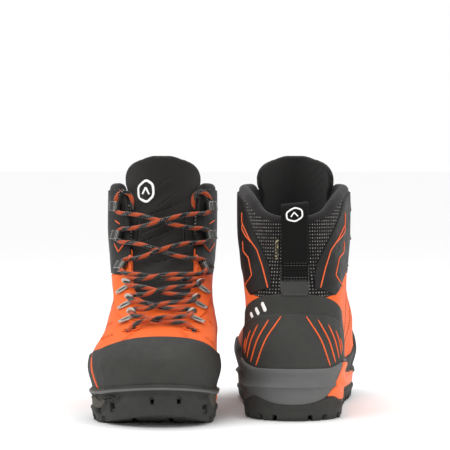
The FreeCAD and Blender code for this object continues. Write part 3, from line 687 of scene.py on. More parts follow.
class Look:
    """A material's node tree, built a step at a time."""

    def __init__(self, name, **shader):
        self.material = bpy.data.materials.new(name)
        self.material.use_nodes = True
        self.tree = self.material.node_tree
        self.shader = self.tree.nodes["Principled BSDF"]
        for socket, value in shader.items():
            self.set(socket.replace("_", " ").title().replace("Ior", "IOR"), value)
        MATERIALS[name] = self.material
        self._uv = self._place = None

    def set(self, socket, value):
        if isinstance(value, bpy.types.NodeSocket):
            self.tree.links.new(value, self.shader.inputs[socket])
        else:
            self.shader.inputs[socket].default_value = value

    def node(self, kind, inputs=(), **settings):
        node = self.tree.nodes.new(kind)
        for key, value in settings.items():
            setattr(node, key, value)
        for key, value in dict(inputs).items():
            if isinstance(value, bpy.types.NodeSocket):
                self.tree.links.new(value, node.inputs[key])
            else:
                node.inputs[key].default_value = value
        return node

    def math(self, operation, a, b=0.0, c=0.0):
        return self.node("ShaderNodeMath", {0: a, 1: b, 2: c}, operation=operation).outputs[0]

    def place(self):
        """Position on the object, in metres."""
        if self._place is None:
            self._place = self.node("ShaderNodeTexCoord").outputs["Object"]
        return self._place

    def uv(self):
        """(u, v) on the surface, in metres."""
        if self._uv is None:
            uv = self.node("ShaderNodeUVMap", uv_map="surface").outputs[0]
            parts = self.node("ShaderNodeSeparateXYZ", {0: uv})
            self._uv = parts.outputs[0], parts.outputs[1]
        return self._uv

    def noise(self, size, detail):
        """Noise from 0 to 1 with features of about size metres."""
        inputs = {"Vector": self.place(), "Scale": 1 / size, "Detail": detail, "Roughness": 0.55}
        return self.node("ShaderNodeTexNoise", inputs).outputs["Fac"]

    def ramp(self, value, low, high, start=0.0, end=1.0):
        inputs = {"Value": value, "From Min": low, "From Max": high, "To Min": start, "To Max": end}
        return self.node("ShaderNodeMapRange", inputs, clamp=True).outputs[0]

    def mix(self, share, a, b):
        node = self.node("ShaderNodeMix", data_type="RGBA")
        for socket, value in ((0, share), (6, a), (7, b)):
            if isinstance(value, bpy.types.NodeSocket):
                self.tree.links.new(value, node.inputs[socket])
            else:
                node.inputs[socket].default_value = value
        return node.outputs[2]

    def bump(self, height, distance, strength=1.0):
        inputs = {"Height": height, "Distance": distance, "Strength": strength}
        self.set("Normal", self.node("ShaderNodeBump", inputs).outputs[0])

    def wave(self, value, size, phase=0.0):
        """0 to 1 and back, once every size metres."""
        turned = self.math("MULTIPLY_ADD", value, 2 * math.pi / size, phase)
        return self.math("MULTIPLY_ADD", self.math("SINE", turned), 0.5, 0.5)

    def weave(self, size):
        """Height of a plain weave: threads that pass over and under each other."""
        u, v = self.uv()
        across = self.wave(u, size)
        along = self.wave(v, size)
        return self.math("MAXIMUM", self.math("MULTIPLY", across, self.math("SUBTRACT", 1.0, along)),
                         self.math("MULTIPLY", along, self.math("SUBTRACT", 1.0, across)))

    def finish(self, colour, shade, grain, distance, roughness=None):
        """Colour that varies between colour and shade, with a bump of the given height in metres."""
        patches = self.ramp(self.noise(0.03, 4), 0.3, 0.7)
        self.set("Base Color", self.mix(self.math("MULTIPLY", patches, 0.6), colour, shade))
        self.bump(grain, distance)
        if roughness is not None:
            self.set("Roughness", self.ramp(self.noise(0.008, 3), 0.3, 0.7, *roughness))


# Specular level, roughness, colour, shade, size and detail of the grain, height of the grain, and the
# roughness from one patch to another where it varies.
PLAIN_LOOKS = {
    "orange_film": (0.25, 0.6, (241, 106, 36), (229, 93, 30), (0.0008, 3), 0.00008, (0.5, 0.66)),
    "film": (0.25, 0.5, (22, 21, 20), (17, 16, 16), (0.0007, 3), 0.00007, (0.42, 0.6)),
    "band_film": (0.2, 0.6, (54, 54, 51), (43, 43, 41), (0.0012, 4), 0.00012, (0.5, 0.68)),
    "cap_rubber": (0.25, 0.68, (55, 55, 52), (47, 47, 45), (0.0009, 4), 0.00014, (0.6, 0.76)),
    "sole_rubber": (0.25, 0.7, (57, 57, 54), (46, 46, 44), (0.0014, 4), 0.0002, (0.6, 0.8)),
    "foam": (0.5, 0.55, (92, 93, 92), (80, 81, 81), (0.0006, 3), 0.00006, (0.48, 0.62)),
    "orange_foam": (0.5, 0.5, (244, 110, 42), (234, 99, 36), (0.0006, 3), 0.00006, (0.44, 0.58)),
    "accent": (0.5, 0.5, (236, 98, 40), (220, 88, 36), (0.0008, 3), 0.00006, (0.42, 0.58)),
    "thread": (0.5, 0.7, (96, 96, 94), (70, 70, 70), (0.0005, 2), 0.00005, None),
    "black_thread": (0.1, 0.6, (30, 29, 28), (22, 21, 21), (0.0005, 2), 0.00005, None),
    "orange_thread": (0.5, 0.7, (176, 66, 24), (158, 58, 20), (0.0005, 2), 0.00005, None),
    "white_print": (0.5, 0.45, (238, 238, 236), (228, 228, 226), (0.0006, 2), 0.00003, None),
    "board": (0.5, 0.85, (150, 140, 120), (128, 118, 100), (0.0012, 4), 0.0002, None),
    "composite": (0.5, 0.85, (40, 40, 42), (28, 28, 30), (0.002, 4), 0.0002, None),
    "stiffener": (0.5, 0.85, (176, 174, 166), (150, 148, 142), (0.001, 4), 0.0002, None),
    "felt": (0.5, 0.85, (52, 52, 54), (36, 36, 38), (0.0009, 4), 0.0002, None),
}


def make_fabrics():
    look = Look("orange_textile", specular_ior_level=0.15, roughness=0.75, sheen_weight=0.15,
                sheen_roughness=0.4)
    weave = look.weave(0.0011)
    patches = look.math("MULTIPLY", look.ramp(look.noise(0.02, 4), 0.3, 0.72), 0.55)
    colour = look.mix(patches, srgb(240, 104, 34), srgb(226, 90, 28))
    look.set("Base Color", look.mix(look.ramp(weave, 0.1, 0.0, 0.0, 0.3), colour, srgb(196, 72, 22)))
    look.bump(look.math("MULTIPLY_ADD", look.noise(0.0009, 2), 0.5, weave), 0.00012, 0.7)

    look = Look("knit", specular_ior_level=0.1, roughness=0.85, sheen_weight=0.1)
    u, v = look.uv()
    dots = look.math("MULTIPLY", look.wave(u, 0.0054), look.wave(v, 0.0029, -math.pi / 2))
    uneven = look.ramp(look.noise(0.004, 2), 0.35, 0.6, 0.25, 1)
    fleck = look.math("MULTIPLY", look.ramp(dots, 0.55, 0.75), uneven)
    loops = look.weave(0.0015)
    base = look.mix(look.ramp(loops, 0.0, 0.9), srgb(11, 10, 10), srgb(27, 25, 25))
    look.set("Base Color", look.mix(fleck, base, srgb(150, 147, 142)))
    look.bump(look.math("ADD", look.math("MULTIPLY", loops, 0.6), dots), 0.0004, 0.8)

    look = Look("soft_shell", specular_ior_level=0.1, roughness=0.82, sheen_weight=0.2, sheen_roughness=0.45)
    grain = look.math("MULTIPLY_ADD", look.noise(0.0012, 3), 0.7, look.weave(0.0009))
    look.finish(srgb(40, 39, 37), srgb(32, 31, 30), grain, 0.00012)

    look = Look("lining", specular_ior_level=0.08, roughness=0.9, sheen_weight=0.15)
    u, v = look.uv()
    holes = look.math("MULTIPLY", look.wave(u, 0.0022), look.wave(v, 0.0022))
    look.finish(srgb(38, 36, 36), srgb(30, 28, 28), holes, 0.0003)

    look = Look("ribbed_knit", specular_ior_level=0.08, roughness=0.9, sheen_weight=0.15)
    u, v = look.uv()
    rib = look.wave(look.math("MULTIPLY_ADD", v, 0.35, u), 0.0024)
    rib = look.math("MULTIPLY_ADD", look.noise(0.0008, 2), 0.25, rib)
    look.set("Base Color", look.mix(rib, srgb(22, 21, 21), srgb(46, 44, 43)))
    look.bump(rib, 0.0005, 0.9)

    look = Look("webbing", specular_ior_level=0.08, roughness=0.7, sheen_weight=0.08)
    u, v = look.uv()
    grain = look.math("MULTIPLY_ADD", look.wave(u, 0.0016), 0.3, look.wave(v, 0.0011))
    look.set("Base Color", look.mix(look.ramp(grain, 0.2, 1.1), srgb(7, 7, 7), srgb(21, 21, 20)))
    look.bump(grain, 0.0003, 0.8)

    look = Look("tag_weave", roughness=0.5)
    blocks = look.ramp(look.noise(0.0013, 1), 0.56, 0.62)
    look.set("Base Color", look.mix(blocks, srgb(34, 32, 27), srgb(186, 176, 134)))
    look.bump(look.weave(0.0008), 0.00015)


def make_rubbers_and_metals():
    look = Look("heel_rubber", specular_ior_level=0.3, roughness=0.6)
    ribs = look.wave(look.math("ADD", *look.uv()), 0.0014)
    grain = look.math("MULTIPLY_ADD", ribs, 0.5, look.noise(0.001, 4))
    look.finish(srgb(54, 54, 51), srgb(42, 42, 40), grain, 0.00016, (0.48, 0.68))

    look = Look("sole_brown", specular_ior_level=0.25, roughness=0.75)
    ribs = look.wave(look.math("SUBTRACT", *look.uv()), 0.0016)
    grain = look.math("MULTIPLY_ADD", ribs, 0.6, look.noise(0.001, 3))
    look.finish(srgb(86, 82, 73), srgb(70, 67, 60), grain, 0.00025)

    look = Look("steel", roughness=0.32, metallic=1.0)
    tarnish = look.ramp(look.noise(0.004, 4), 0.35, 0.7)
    look.set("Base Color", look.mix(tarnish, srgb(190, 186, 178), srgb(158, 154, 147)))
    look.set("Roughness", look.ramp(look.noise(0.0012, 3), 0.3, 0.7, 0.26, 0.42))
    look.bump(look.noise(0.0006, 3), 0.00003)

    # Painted highlight: bright silver metal for the bevels of the black hooks, so that their edges shine.
    look = Look("bright_edge", roughness=0.2, metallic=1.0)
    tarnish = look.ramp(look.noise(0.003, 3), 0.35, 0.7)
    look.set("Base Color", look.mix(tarnish, srgb(190, 188, 182), srgb(160, 157, 150)))
    look.bump(look.noise(0.0006, 3), 0.00002)

    # Black lacquer of the hooks. The same dark finish also fills the holes of the ring plates and of the toe
    # slots, as painted shade.
    look = Look("black_lacquer", roughness=0.3, coat_weight=0.2)
    look.finish(srgb(34, 35, 35), srgb(24, 25, 25), look.noise(0.0012, 3), 0.00003, (0.24, 0.4))


def make_materials():
    make_fabrics()
    make_rubbers_and_metals()
    make_lace_material()
    for name, (specular, roughness, colour, shade, grain, height, patches) in PLAIN_LOOKS.items():
        look = Look(name, specular_ior_level=specular, roughness=roughness)
        look.finish(srgb(*colour), srgb(*shade), look.noise(*grain), height, patches)


LACE_RADIUS = 2.0
LACE_TWIST = 0.019      # metres of lace for one turn of its colours


def make_lace_material():
    """Two orange and two black strands that wind round the lace; the black ones carry light flecks."""
    look = Look("lace", specular_ior_level=0.15, roughness=0.72, sheen_weight=0.2)
    run, turn = look.uv()
    spiral = look.math("FRACT", look.math("ADD", look.math("DIVIDE", run, LACE_TWIST), turn))
    shifted = look.math("ABSOLUTE", look.math("SUBTRACT", spiral, 0.5))
    orange = look.ramp(shifted, 0.23, 0.27)
    braid_a = look.wave(look.math("MULTIPLY_ADD", turn, 0.0088, run), 0.0022)
    braid_b = look.wave(look.math("MULTIPLY_ADD", turn, -0.0088, run), 0.0022)
    braid = look.math("MAXIMUM", braid_a, braid_b)
    orange_strand = look.mix(look.ramp(look.noise(0.002, 3), 0.3, 0.7), srgb(216, 100, 50), srgb(186, 78, 40))
    # Painted shade: the orange strands turn dark brown in the grooves between the braided threads.
    orange_strand = look.mix(look.ramp(braid, 0.55, 0.95), srgb(128, 44, 24), orange_strand)
    flecks = look.ramp(look.math("MULTIPLY", braid_a, braid_b), 0.66, 0.84)
    flecks = look.math("MULTIPLY", flecks, look.ramp(look.noise(0.0016, 1), 0.42, 0.52))
    dark = look.mix(flecks, srgb(15, 17, 16), srgb(205, 208, 205))
    look.set("Base Color", look.mix(orange, dark, orange_strand))
    look.bump(braid, 0.0003, 0.9)


# ---- the textile upper ---------------------------------------------------------------------------
BOOT = "boot"


def make_upper():
    """The orange outer layer of the foot, and the knit of the ankle above it."""
    seams = [line_on("front", corners)
             for corners in ([(11.5, 79), (16, 76.5), (25, 70), (33.5, 64.3)],
                             [(-20, 77.3), (-24, 75.5), (-31, 70), (-39.3, 65.3)],
                             [(35.4, 73.1), (41, 71), (47.8, 67.5)],
                             [(-43.6, 71.5), (-47.5, 68), (-50.8, 64.6)],
                             [(38, 81), (43, 78.4), (47, 75)],
                             [(-43.5, 84.3), (-46.5, 81), (-49, 78.8)])]
    for corners in ([(22, 97), (8, 84), (0, 70), (-6, 52), (-8, 44)],
                    [(-20, 110), (-36, 92), (-44, 74), (-48, 50)]):
        seams += [line_on("side", corners, side=side) for side in (1, -1)]
    runs = [(form_point(s, z), (0.55, 1.3)) for s, z in seams]

    def relief(s, z, flat, distance):
        depth = np.zeros(len(s))
        for run, _ in runs:
            away = line_distance(flat, run)
            depth = np.minimum(depth, -0.75 * bell(away, 0.6) + 0.25 * bell(away - 1.6, 0.9))
        return depth

    def foot(s, z, p):
        return np.minimum(-over(SEAM, p[:, 1], z), -throat(p))

    def ankle(s, z, p):
        return np.minimum.reduce([over(SEAM, p[:, 1], z) - 0.1, -throat(p),
                                  -over([(y, h - 2.5) for y, h in RIM], p[:, 1], z)])

    mesh = panel(Mesh(), foot, 1.0, -1.0, under=-2.3, span=(24, 146), relief=relief, lines=runs, edge=0.9,
                 under_finish=1)
    publish("upper_textile", mesh, ["orange_textile", "lining"], BOOT, ["upper"])
    mesh = panel(Mesh(), ankle, 1.0, -1.0, under=-2.3, span=(94, 204), edge=0.9)
    publish("ankle_knit", mesh, ["knit"], BOOT, ["ankle_cuff"])
    mesh = Mesh()
    for s, z in seams:
        gap = 1.5
        flat = form_point(s, z)
        ahead = np.gradient(flat, axis=0)
        out = np.cross(normals(form_point, s, z), ahead)
        out /= np.linalg.norm(out, axis=1, keepdims=True)
        for sign in (1, -1):
            path = flat + out * gap * sign
            row_s = from_any(path)
            stitches(mesh, (row_s, path[:, 2]), 0.12, 2.0, 1.0, 0.22)
    publish("vamp_stitching", mesh, ["orange_thread"], BOOT)


def from_any(points):
    """Section place of points that lie on or close to the form."""
    front = smooth(points[:, 2], FRONT)
    middle = side_x(points[:, 1], points[:, 2], 0.0)
    s = from_side(points[:, 1], points[:, 2], 1)
    near_end = (points[:, 1] > front - 30)
    turned = from_end(points[:, 0], points[:, 2], True)
    s = np.where(points[:, 0] > middle, s, 1 - s)
    return np.where(near_end, turned, s)


KNIT_EDGE = [(-88, 199), (-101, 181), (-112, 166), (-121.5, 151), (-128, 137), (-132, 125), (-134.5, 112)]
BAND_TOP = [(-175, 109), (-145, 109), (-135, 106.5), (-117, 98.5), (-100, 89), (-80, 77), (-68, 66),
            (-64, 54), (-66, 40)]
HEEL_CAP_EDGE = [(-175, 92), (-150, 92), (-134, 89), (-112, 80), (-96, 66), (-86, 50), (-82, 34)]


def make_cuff_panels():
    """Smooth film over both sides of the ankle, which leaves the knit bare at the back."""
    outline = curve(KNIT_EDGE) + [(-118, 105.5), (-100, 113), (-80, 120), (-64, 129), (-50, 137.5),
                                  (-30, 143.4), (-10, 144), (20, 146), (20, 216), (-88, 216)]

    def film(s, z, p):
        return np.minimum.reduce([within(outline, p[:, 1], z), -throat(p) - 0.5,
                                  -over([(y, h - 4.5) for y, h in RIM], p[:, 1], z)])

    mesh = panel(Mesh(), film, 1.0, 0.0, under=-0.5, span=(104, 206), edge=0.9)
    publish("cuff_film", mesh, ["film"], BOOT, ["cuff_overlay"])

    mesh, thread = Mesh(), Mesh()
    for side in (1, -1):
        back = [(49, 176), (44, 164), (38.5, 153.5), (31.8, 144.5), (27, 130), (22.5, 112.5)]
        fork = [(47.5, 165), (42.2, 156), (36.2, 150.2)]
        zigzag = [(49, 151), (46.5, 144.6), (39.3, 137), (36.2, 122.6), (43.2, 111.5)]
        for corners in (back, fork, zigzag):
            shifted = [(side * x * 0.97 - 2.4 * (1 - x / 49), z) for x, z in corners]
            places = line_on("back", shifted, rounded=False, spacing=1.2)
            piping(mesh, places, 0.62, 0.75, 1.0)
        inner_row = [(47.5, 188), (40.5, 172), (31, 153), (23.2, 136), (19.4, 122), (17, 113)]
        places = line_on("back", [(side * x * 0.97, z) for x, z in inner_row])
        stitches(thread, places, 1.1, 2.0, 1.2, 0.2)
        front_v = [(side * 45.4, 145.6), (side * 41, 138.4), (side * 36.4, 144.8)]
        middle = lacing_middle(140.0)
        places = line_on("front", [(x * 0.96 + middle, z) for x, z in front_v], rounded=False, spacing=1.0)
        piping(mesh, places, 0.65, 0.75, 1.6)
        short = [(side * 45.4, 166.5), (side * 40.5, 163.3)]
        places = line_on("front", [(x * 0.96 + middle, z) for x, z in short], rounded=False, spacing=1.0)
        piping(mesh, places, 0.65, 0.75, 1.6)
    publish("cuff_piping_lines", mesh, ["accent"], BOOT, ["cuff_piping"])
    publish("cuff_stitching", thread, ["black_thread"], BOOT)


def black_facing_edge(x):
    return smooth(np.abs(x), [(0, 134), (28, 134), (33, 125), (37, 119.5), (60, 119.5)])


def make_facings():
    """The panels that carry the lacing: orange on the instep, black on the ankle."""
    middle = lacing_middle(90.0)

    def base(s, z, p):
        gap = np.where((p[:, 1] > 20), np.abs(p[:, 0] - middle) - 11, 50)
        return np.minimum.reduce([over(FACING_EDGE, p[:, 1], z), -throat(p) - 0.2, gap,
                                  -over([(y, h - 3.5) for y, h in RIM], p[:, 1], z),
                                  np.where(p[:, 1] > -67, 50.0, -50.0)])

    def orange(s, z, p):
        x = p[:, 0] - lacing_middle(z)
        slot_dx, slot_z = np.abs(x) - SLOT[0] - 2.5, z - SLOT[1] + 1.0
        slot = np.hypot(slot_dx * 0.92 + slot_z * 0.38, (slot_z * 0.92 - slot_dx * 0.38) * 2.6) - 6.2
        front = np.where(p[:, 1] > 60, 1.0, 0.0)
        return np.minimum.reduce([base(s, z, p), (black_facing_edge(x) - 0.5 - z) * 0.8,
                                  np.where(front > 0, slot, 50.0)])

    def black(s, z, p):
        x = p[:, 0] - lacing_middle(z)
        return np.minimum(base(s, z, p), (z - black_facing_edge(x)) * 0.8)

    mesh = panel(Mesh(), orange, 1.1, 0.0, under=-0.5, span=(74, 150), edge=0.9, step=2.2)
    publish("instep_facings", mesh, ["orange_film"], BOOT, ["facings"])
    mesh = panel(Mesh(), black, 1.4, 0.0, under=-0.5, span=(110, 206), edge=1.1, step=2.2)
    publish("ankle_facings", mesh, ["film"], BOOT)
    mesh, thread = Mesh(), Mesh()
    for side in (1, -1):
        rows = [(28.9, 124), (29.2, 136)]
        z = np.linspace(rows[0][1], rows[1][1], 14)
        x = lacing_middle(z) + side * np.interp(z, [r[1] for r in rows], [r[0] for r in rows])
        piping(mesh, (from_end(x, z, True), z), 1.5, 0.7, 1.3)
        z = np.linspace(140, 176, 30)
        x = lacing_middle(z) + side * (33.2 + (z - 140) * 0.06)
        stitches(thread, (from_end(x, z, True), z), 1.5, 2.2, 1.2, 0.22)
    publish("throat_accents", mesh, ["accent"], BOOT)
    publish("facing_stitching", thread, ["black_thread"], BOOT)


# ---- rubber round the foot -----------------------------------------------------------------------
def cap_region(s, z, p):
    outer = within(CAP_TOP + curve(CAP_EDGES[1])[1:] + [(175, 18), (175, 82)], p[:, 1], z)
    inner = within(CAP_TOP + curve(CAP_EDGES[-1])[1:] + [(175, 18), (175, 82)], p[:, 1], z)
    middle = side_x(p[:, 1], z, 0.0)
    share = np.clip((p[:, 0] - middle) / 16 + 0.5, 0, 1)
    return inner * (1 - share) + outer * share


def make_rubber():
    """Toe cap, side rands, heel cap with its ribs, and the heel band."""
    def toe(s, z, p):
        return np.minimum(cap_region(s, z, p), over(FEATHER, p[:, 1], z) + 12)

    mesh = panel(Mesh(), toe, 2.1, 0.0, under=-0.5, span=(24, 84), edge=1.6, step=2.4)
    publish("toe_cap_rubber", mesh, ["cap_rubber"], BOOT, ["toe_cap"])

    mesh = Mesh()
    outer_edge = [(91.5, 54.6), (96.2, 49.6), (99.6, 43), (101.7, 35), (102, 28.5)]
    piping(mesh, line_on("side", outer_edge, spacing=1.2), 1.3, 1.35, 1.25, ends=4)
    publish("toe_cap_piping", mesh, ["accent"], BOOT)

    outer_top = curve([(92, 50.5), (83, 54.5), (60, 55), (20, 52), (-20, 47), (-50, 43), (-66, 41)])
    inner_top = curve([(50, 49), (40, 46), (20, 43), (-20, 41), (-50, 40), (-66, 40)])

    def rand(s, z, p):
        outer = within(outer_top + [(-74, 36), (-74, 18), (100, 18), (99.2, 34), (96, 44)], p[:, 1], z)
        inner = within(inner_top + [(-74, 36), (-74, 18), (42.4, 18), (45, 38)], p[:, 1], z)
        side = np.where(np.mod(s, 1.0) < 0.5, outer, inner)
        return np.minimum(side, over(FEATHER, p[:, 1], z))

    mesh = Mesh()
    for turn in ((0.1, 0.45), (0.55, 0.9)):
        panel(mesh, rand, 1.7, 0.0, under=-0.5, span=(24, 60), edge=1.2, step=2.2, turn=turn)
    publish("side_rands", mesh, ["cap_rubber"], BOOT, ["side_rand"])

    heel_outline = curve(HEEL_CAP_EDGE) + [(-82, 20), (-175, 20)]

    def heel(s, z, p):
        return np.minimum(within(heel_outline, p[:, 1], z), over(FEATHER, p[:, 1], z))

    def heel_relief(s, z, p, distance):
        return 0.35 * bell(distance - 2.2, 1.5)

    mesh = panel(Mesh(), heel, 1.8, 0.0, under=-0.5, span=(34, 94), edge=1.4, step=2.4, turn=(-0.5, 0.5),
                 relief=heel_relief)
    publish("heel_cap_rubber", mesh, ["heel_rubber"], BOOT, ["heel_cap"])

    mesh = Mesh()
    tops = [(10, 89.5), (20.5, 86), (29.5, 81.5), (36, 76), (40, 69)]
    feet = [(31.5, 45.8), (36, 48.5), (39, 52), (40.8, 55), (41.6, 57.5)]
    for side in (1, -1):
        for (x0, z0), (x1, z1) in zip(tops, feet):
            bow = (x0 * 0.42 + x1 * 0.58 + 0.06 * (x1 - x0), (z0 + z1) / 2)
            corners = [(side * x * 0.97 - 1.4 * (1 - x / 44), z) for x, z in ((x0, z0), bow, (x1, z1))]
            piping(mesh, line_on("back", corners, spacing=1.2), 0.7, 0.9, 1.75, ends=7)
    publish("heel_cap_ribs", mesh, ["accent"], BOOT, ["heel_ribs"])

    band_outline = curve(BAND_TOP) + [(-82, 32), (-86, 48), (-96, 64), (-112, 78), (-134, 87), (-150, 90),
                                      (-175, 90)]

    def band(s, z, p):
        return np.minimum(within(band_outline, p[:, 1], z), over(FEATHER, p[:, 1], z))

    mesh = panel(Mesh(), band, 1.0, 0.0, under=-0.5, span=(34, 116), edge=1.0, step=2.4, turn=(-0.5, 0.5))
    publish("heel_band", mesh, ["band_film"], BOOT)

    mesh = Mesh()
    bars = [((23, 92.5), (26.5, 100.0)), ((29, 89.5), (32.0, 95.0)), ((34.4, 86.5), (36.6, 90.5))]
    for (x0, z0), (x1, z1) in bars:
        z = np.linspace(z0, z1, 9)
        x = np.linspace(x0, x1, 9) * 0.97
        piping(mesh, (from_end(x, z, False), z), 1.7, 0.35, 1.0)
    publish("heel_band_marks", mesh, ["white_print"], BOOT)


# ---- the padded collar ---------------------------------------------------------------------------
def rim_height(s):
    z = np.full(s.shape, 190.0)
    for _ in range(12):
        z = smooth(form_point(s, z)[:, 1], RIM)
    return z


def make_collar():
    """The padded ring round the ankle: it rolls over the rim and bulges inwards."""
    start = float(from_end(-36.0, 194.0, True)) - 1
    end = float(from_end(36.0, 194.0, True))
    s = np.linspace(start, end, 190)
    rim = rim_height(np.mod(s, 1.0))
    flat = form_point(np.mod(s, 1.0), rim)
    run = run_along(flat)
    to_end = np.minimum(run, run[-1] - run)
    rim = rim - 5 * (1 - edge_round(to_end, 9))
    depth = 9.5 + 3.0 * np.clip(to_end / 60, 0, 1)
    shape = edge_round(to_end + 0.4, 6.0)
    # Outline of the pad across its thickness: (offset as a share of the depth, height over the rim).
    outline = np.array([(-0.18, -28), (-0.17, -10), (-0.1, -6), (-0.03, -3.2), (-0.05, -0.6), (-0.17, 1.5),
                        (-0.38, 2.6), (-0.6, 2.0), (-0.8, 0.2), (-0.93, -2.8), (-1.0, -7), (-1.02, -12),
                        (-0.94, -16.5), (-0.85, -18.4), (-0.93, -20.5), (-0.97, -24), (-0.9, -29),
                        (-0.72, -34), (-0.5, -38), (-0.3, -36)])
    t = np.linspace(0, len(outline), 61)[:-1]
    wrapped = np.concatenate([outline, outline[:1]])
    fine = np.stack([smooth_rows(t, np.arange(len(outline) + 1), wrapped[:, c]) for c in (0, 1)], 1)
    rings = np.zeros((len(s), len(fine), 3))
    lowest, centre_offset, centre_rise = 148.0, -0.5, -14.0
    for j, (offset, rise) in enumerate(fine):
        drop = np.where(rise < -18, (rim - 18 - lowest) / 20, 1.0)
        height = np.where(rise < -18, rim - 18 + (rise + 18) * drop, rim + rise)
        d = (centre_offset + (offset - centre_offset) * shape) * depth
        z = rim + centre_rise + (height - rim - centre_rise) * (0.55 + 0.45 * shape)
        rings[:, j] = lifted(form_point, np.mod(s, 1.0), z, d)
    mesh = Mesh()
    profile = run_along(rings[60])
    profile = np.append(profile, profile[-1] + 1.0)
    loft(mesh, rings[:, ::-1], 0, (run, profile))
    for piece in publish("collar_padding", mesh, ["lining"], BOOT, ["collar_pad"]):
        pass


# ---- the tongue ----------------------------------------------------------------------------------
TONGUE_THICK = 5.6
TONGUE_DEPTH = [(78, 2.6), (112, 2.6), (160, 7.2), (240, 7.2)]
FOLD_Y, FOLD_LOW, FOLD_HIGH = -29.4, 177, 191       # where a bend of the tongue would start and end; the tongue is not bent


def tongue_lift(s, z):
    return -smooth(z, TONGUE_DEPTH)


def tongue_half(z):
    return smooth(z, [(78, 7), (80, 12), (83, 21), (96, 31), (112, 35), (130, 36), (150, 36), (172, 35),
                      (180, 31.6), (186, 30.4), (193, 31), (199, 32.6), (205, 32.8), (211, 31.6), (216, 28.6),
                      (220, 23), (222.3, 16.5), (223.6, 9), (224, 0.1)])


def make_tongue():
    """One padded piece from the instep up, and the binding round its top."""
    embossed = [[(5, 197.7), (-10.5, 208)], [(3.2, 181.4), (-18, 194.3)], [(14.4, 173), (-22, 184.5)],
                [(21, 150.6), (-21.4, 164.8)], [(21, 158), (-19, 171.5)],
                [(22.7, 142.3), (7, 133.5), (-26, 140.6)], [(10.2, 140.6), (-7, 148), (-24, 153)],
                [(20, 128), (0, 118), (-20, 124)]]
    runs = [(form_point(*line_on("front", corners, rounded=False)), (0.5, 1.2)) for corners in embossed]
    for side in (1, -1):
        runs.append((form_point(*line_on("front", [(side * 25, 150), (side * 24.5, 172)])), (0.8,)))

    def region(s, z, p):
        middle = lifted(form_point, s, z, tongue_lift(s, z) - TONGUE_THICK / 2)
        away = np.abs(middle[:, 0] - lacing_middle(middle[:, 2]))
        field = np.minimum(tongue_half(middle[:, 2]) - away, middle[:, 2] - 78.5) * 0.9
        return np.where(p[:, 1] > -75, field, OUTSIDE)

    def relief(s, z, p, distance):
        bump = np.zeros(len(s))
        for run, _ in runs:
            away = line_distance(p, run)
            bump = np.minimum(bump, -bell(away, 0.75)) + 0.4 * bell(away - 1.7, 0.7)
        x = p[:, 0] - lacing_middle(z)
        quilt = 0.5 * np.cos((z * 0.82 + x * 0.45) / 15.0 * 2 * math.pi)
        return bump + quilt * fade(distance, 4, 10) * fade(z, 120, 130) * fade(z, 205, 193)

    mesh = panel(Mesh(), region, TONGUE_THICK, tongue_lift, edge=2.8, span=(77.5, 226), turn=(0.27, 0.73),
                 step=2.0, relief=relief, lines=runs, pillow=True, under_finish=1, low_edge=0.12)
    pieces = publish("tongue_padding", mesh, ["soft_shell", "ribbed_knit"], None,
                     ["tongue", "tongue_top"])
    mesh = Mesh()
    z = np.concatenate([np.linspace(196, 216, 18), np.linspace(217, 222, 10), [222.8, 223.4]])
    right = np.stack([tongue_half(z) - 0.9, z], 1)
    outline = np.concatenate([right, (right * [-1, 1])[::-1]])
    depth = smooth(outline[:, 1], TONGUE_DEPTH) + TONGUE_THICK / 2
    s = from_end(outline[:, 0] + lacing_middle(outline[:, 1]), outline[:, 1], True)
    path = resample(lifted(form_point, s, outline[:, 1], -depth), 2.0)
    order = np.arange(len(path))
    tube(mesh, path, 2.61 * edge_round(np.minimum(order, order[::-1]) + 0.3, 6), 12)
    pieces += publish("tongue_binding", mesh, ["lining"], None)
    for piece in pieces:
        boot = piece.name.split("_")[0]
        low, high = to_pair([(0, FOLD_Y, FOLD_LOW), (0, FOLD_Y, FOLD_HIGH)], boot)
        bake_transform(piece)


def generic_mark(mesh, place, size, thick):
    """A plain frame of six rounded corners with a simple roof line in it. place(a, b, height) gives the
    point for a place on the mark in millimetres."""
    corners = [(0.0, 0.5), (0.42, 0.3), (0.46, -0.2), (0.05, -0.5), (-0.42, -0.32), (-0.46, 0.18)]
    corners = np.array(corners) * size
    ring = []
    for i in range(6):
        a, b, c = corners[i - 1], corners[i], corners[(i + 1) % 6]
        start, end = b + (a - b) * 0.33, b + (c - b) * 0.33
        for t in np.linspace(0, 1, 6):
            ring.append((1 - t) ** 2 * start + 2 * t * (1 - t) * b + t * t * end)
    ring = np.array(ring)
    outline = np.array([place(a, b, thick * 0.4) for a, b in ring])
    up = np.array([place(a, b, 1.0) - place(a, b, 0.0) for a, b in ring])
    tube(mesh, outline, size[1] * 0.055, 8, 0, thick / (size[1] * 0.055) * 0.6, up, closed=True)
    roof = np.array([(-0.2, -0.14), (-0.02, 0.16), (0.2, -0.14)]) * size
    for a, b in zip(roof[:-1], roof[1:]):
        run = a + (b - a) * np.linspace(0, 1, 8)[:, None]
        path = np.array([place(u, v, thick * 0.4) for u, v in run])
        up = np.array([place(u, v, 1.0) - place(u, v, 0.0) for u, v in run])
        tube(mesh, path, size[1] * 0.045, 8, 0, thick / (size[1] * 0.045) * 0.6, up)
    return mesh


def make_badge():
    def place(a, b, height):
        x, z = 16.8 - a, 194.5 + b
        s = from_end(np.array([x]), np.array([z]), True)
        return lifted(form_point, s, np.array([z]), -smooth(np.array([z]), TONGUE_DEPTH) + height + 0.1)[0]

    mesh = generic_mark(Mesh(), place, np.array([18.0, 20.0]), 0.5)
    publish("tongue_mark", mesh, ["white_print"], "tongue_top", ["tongue_badge"])


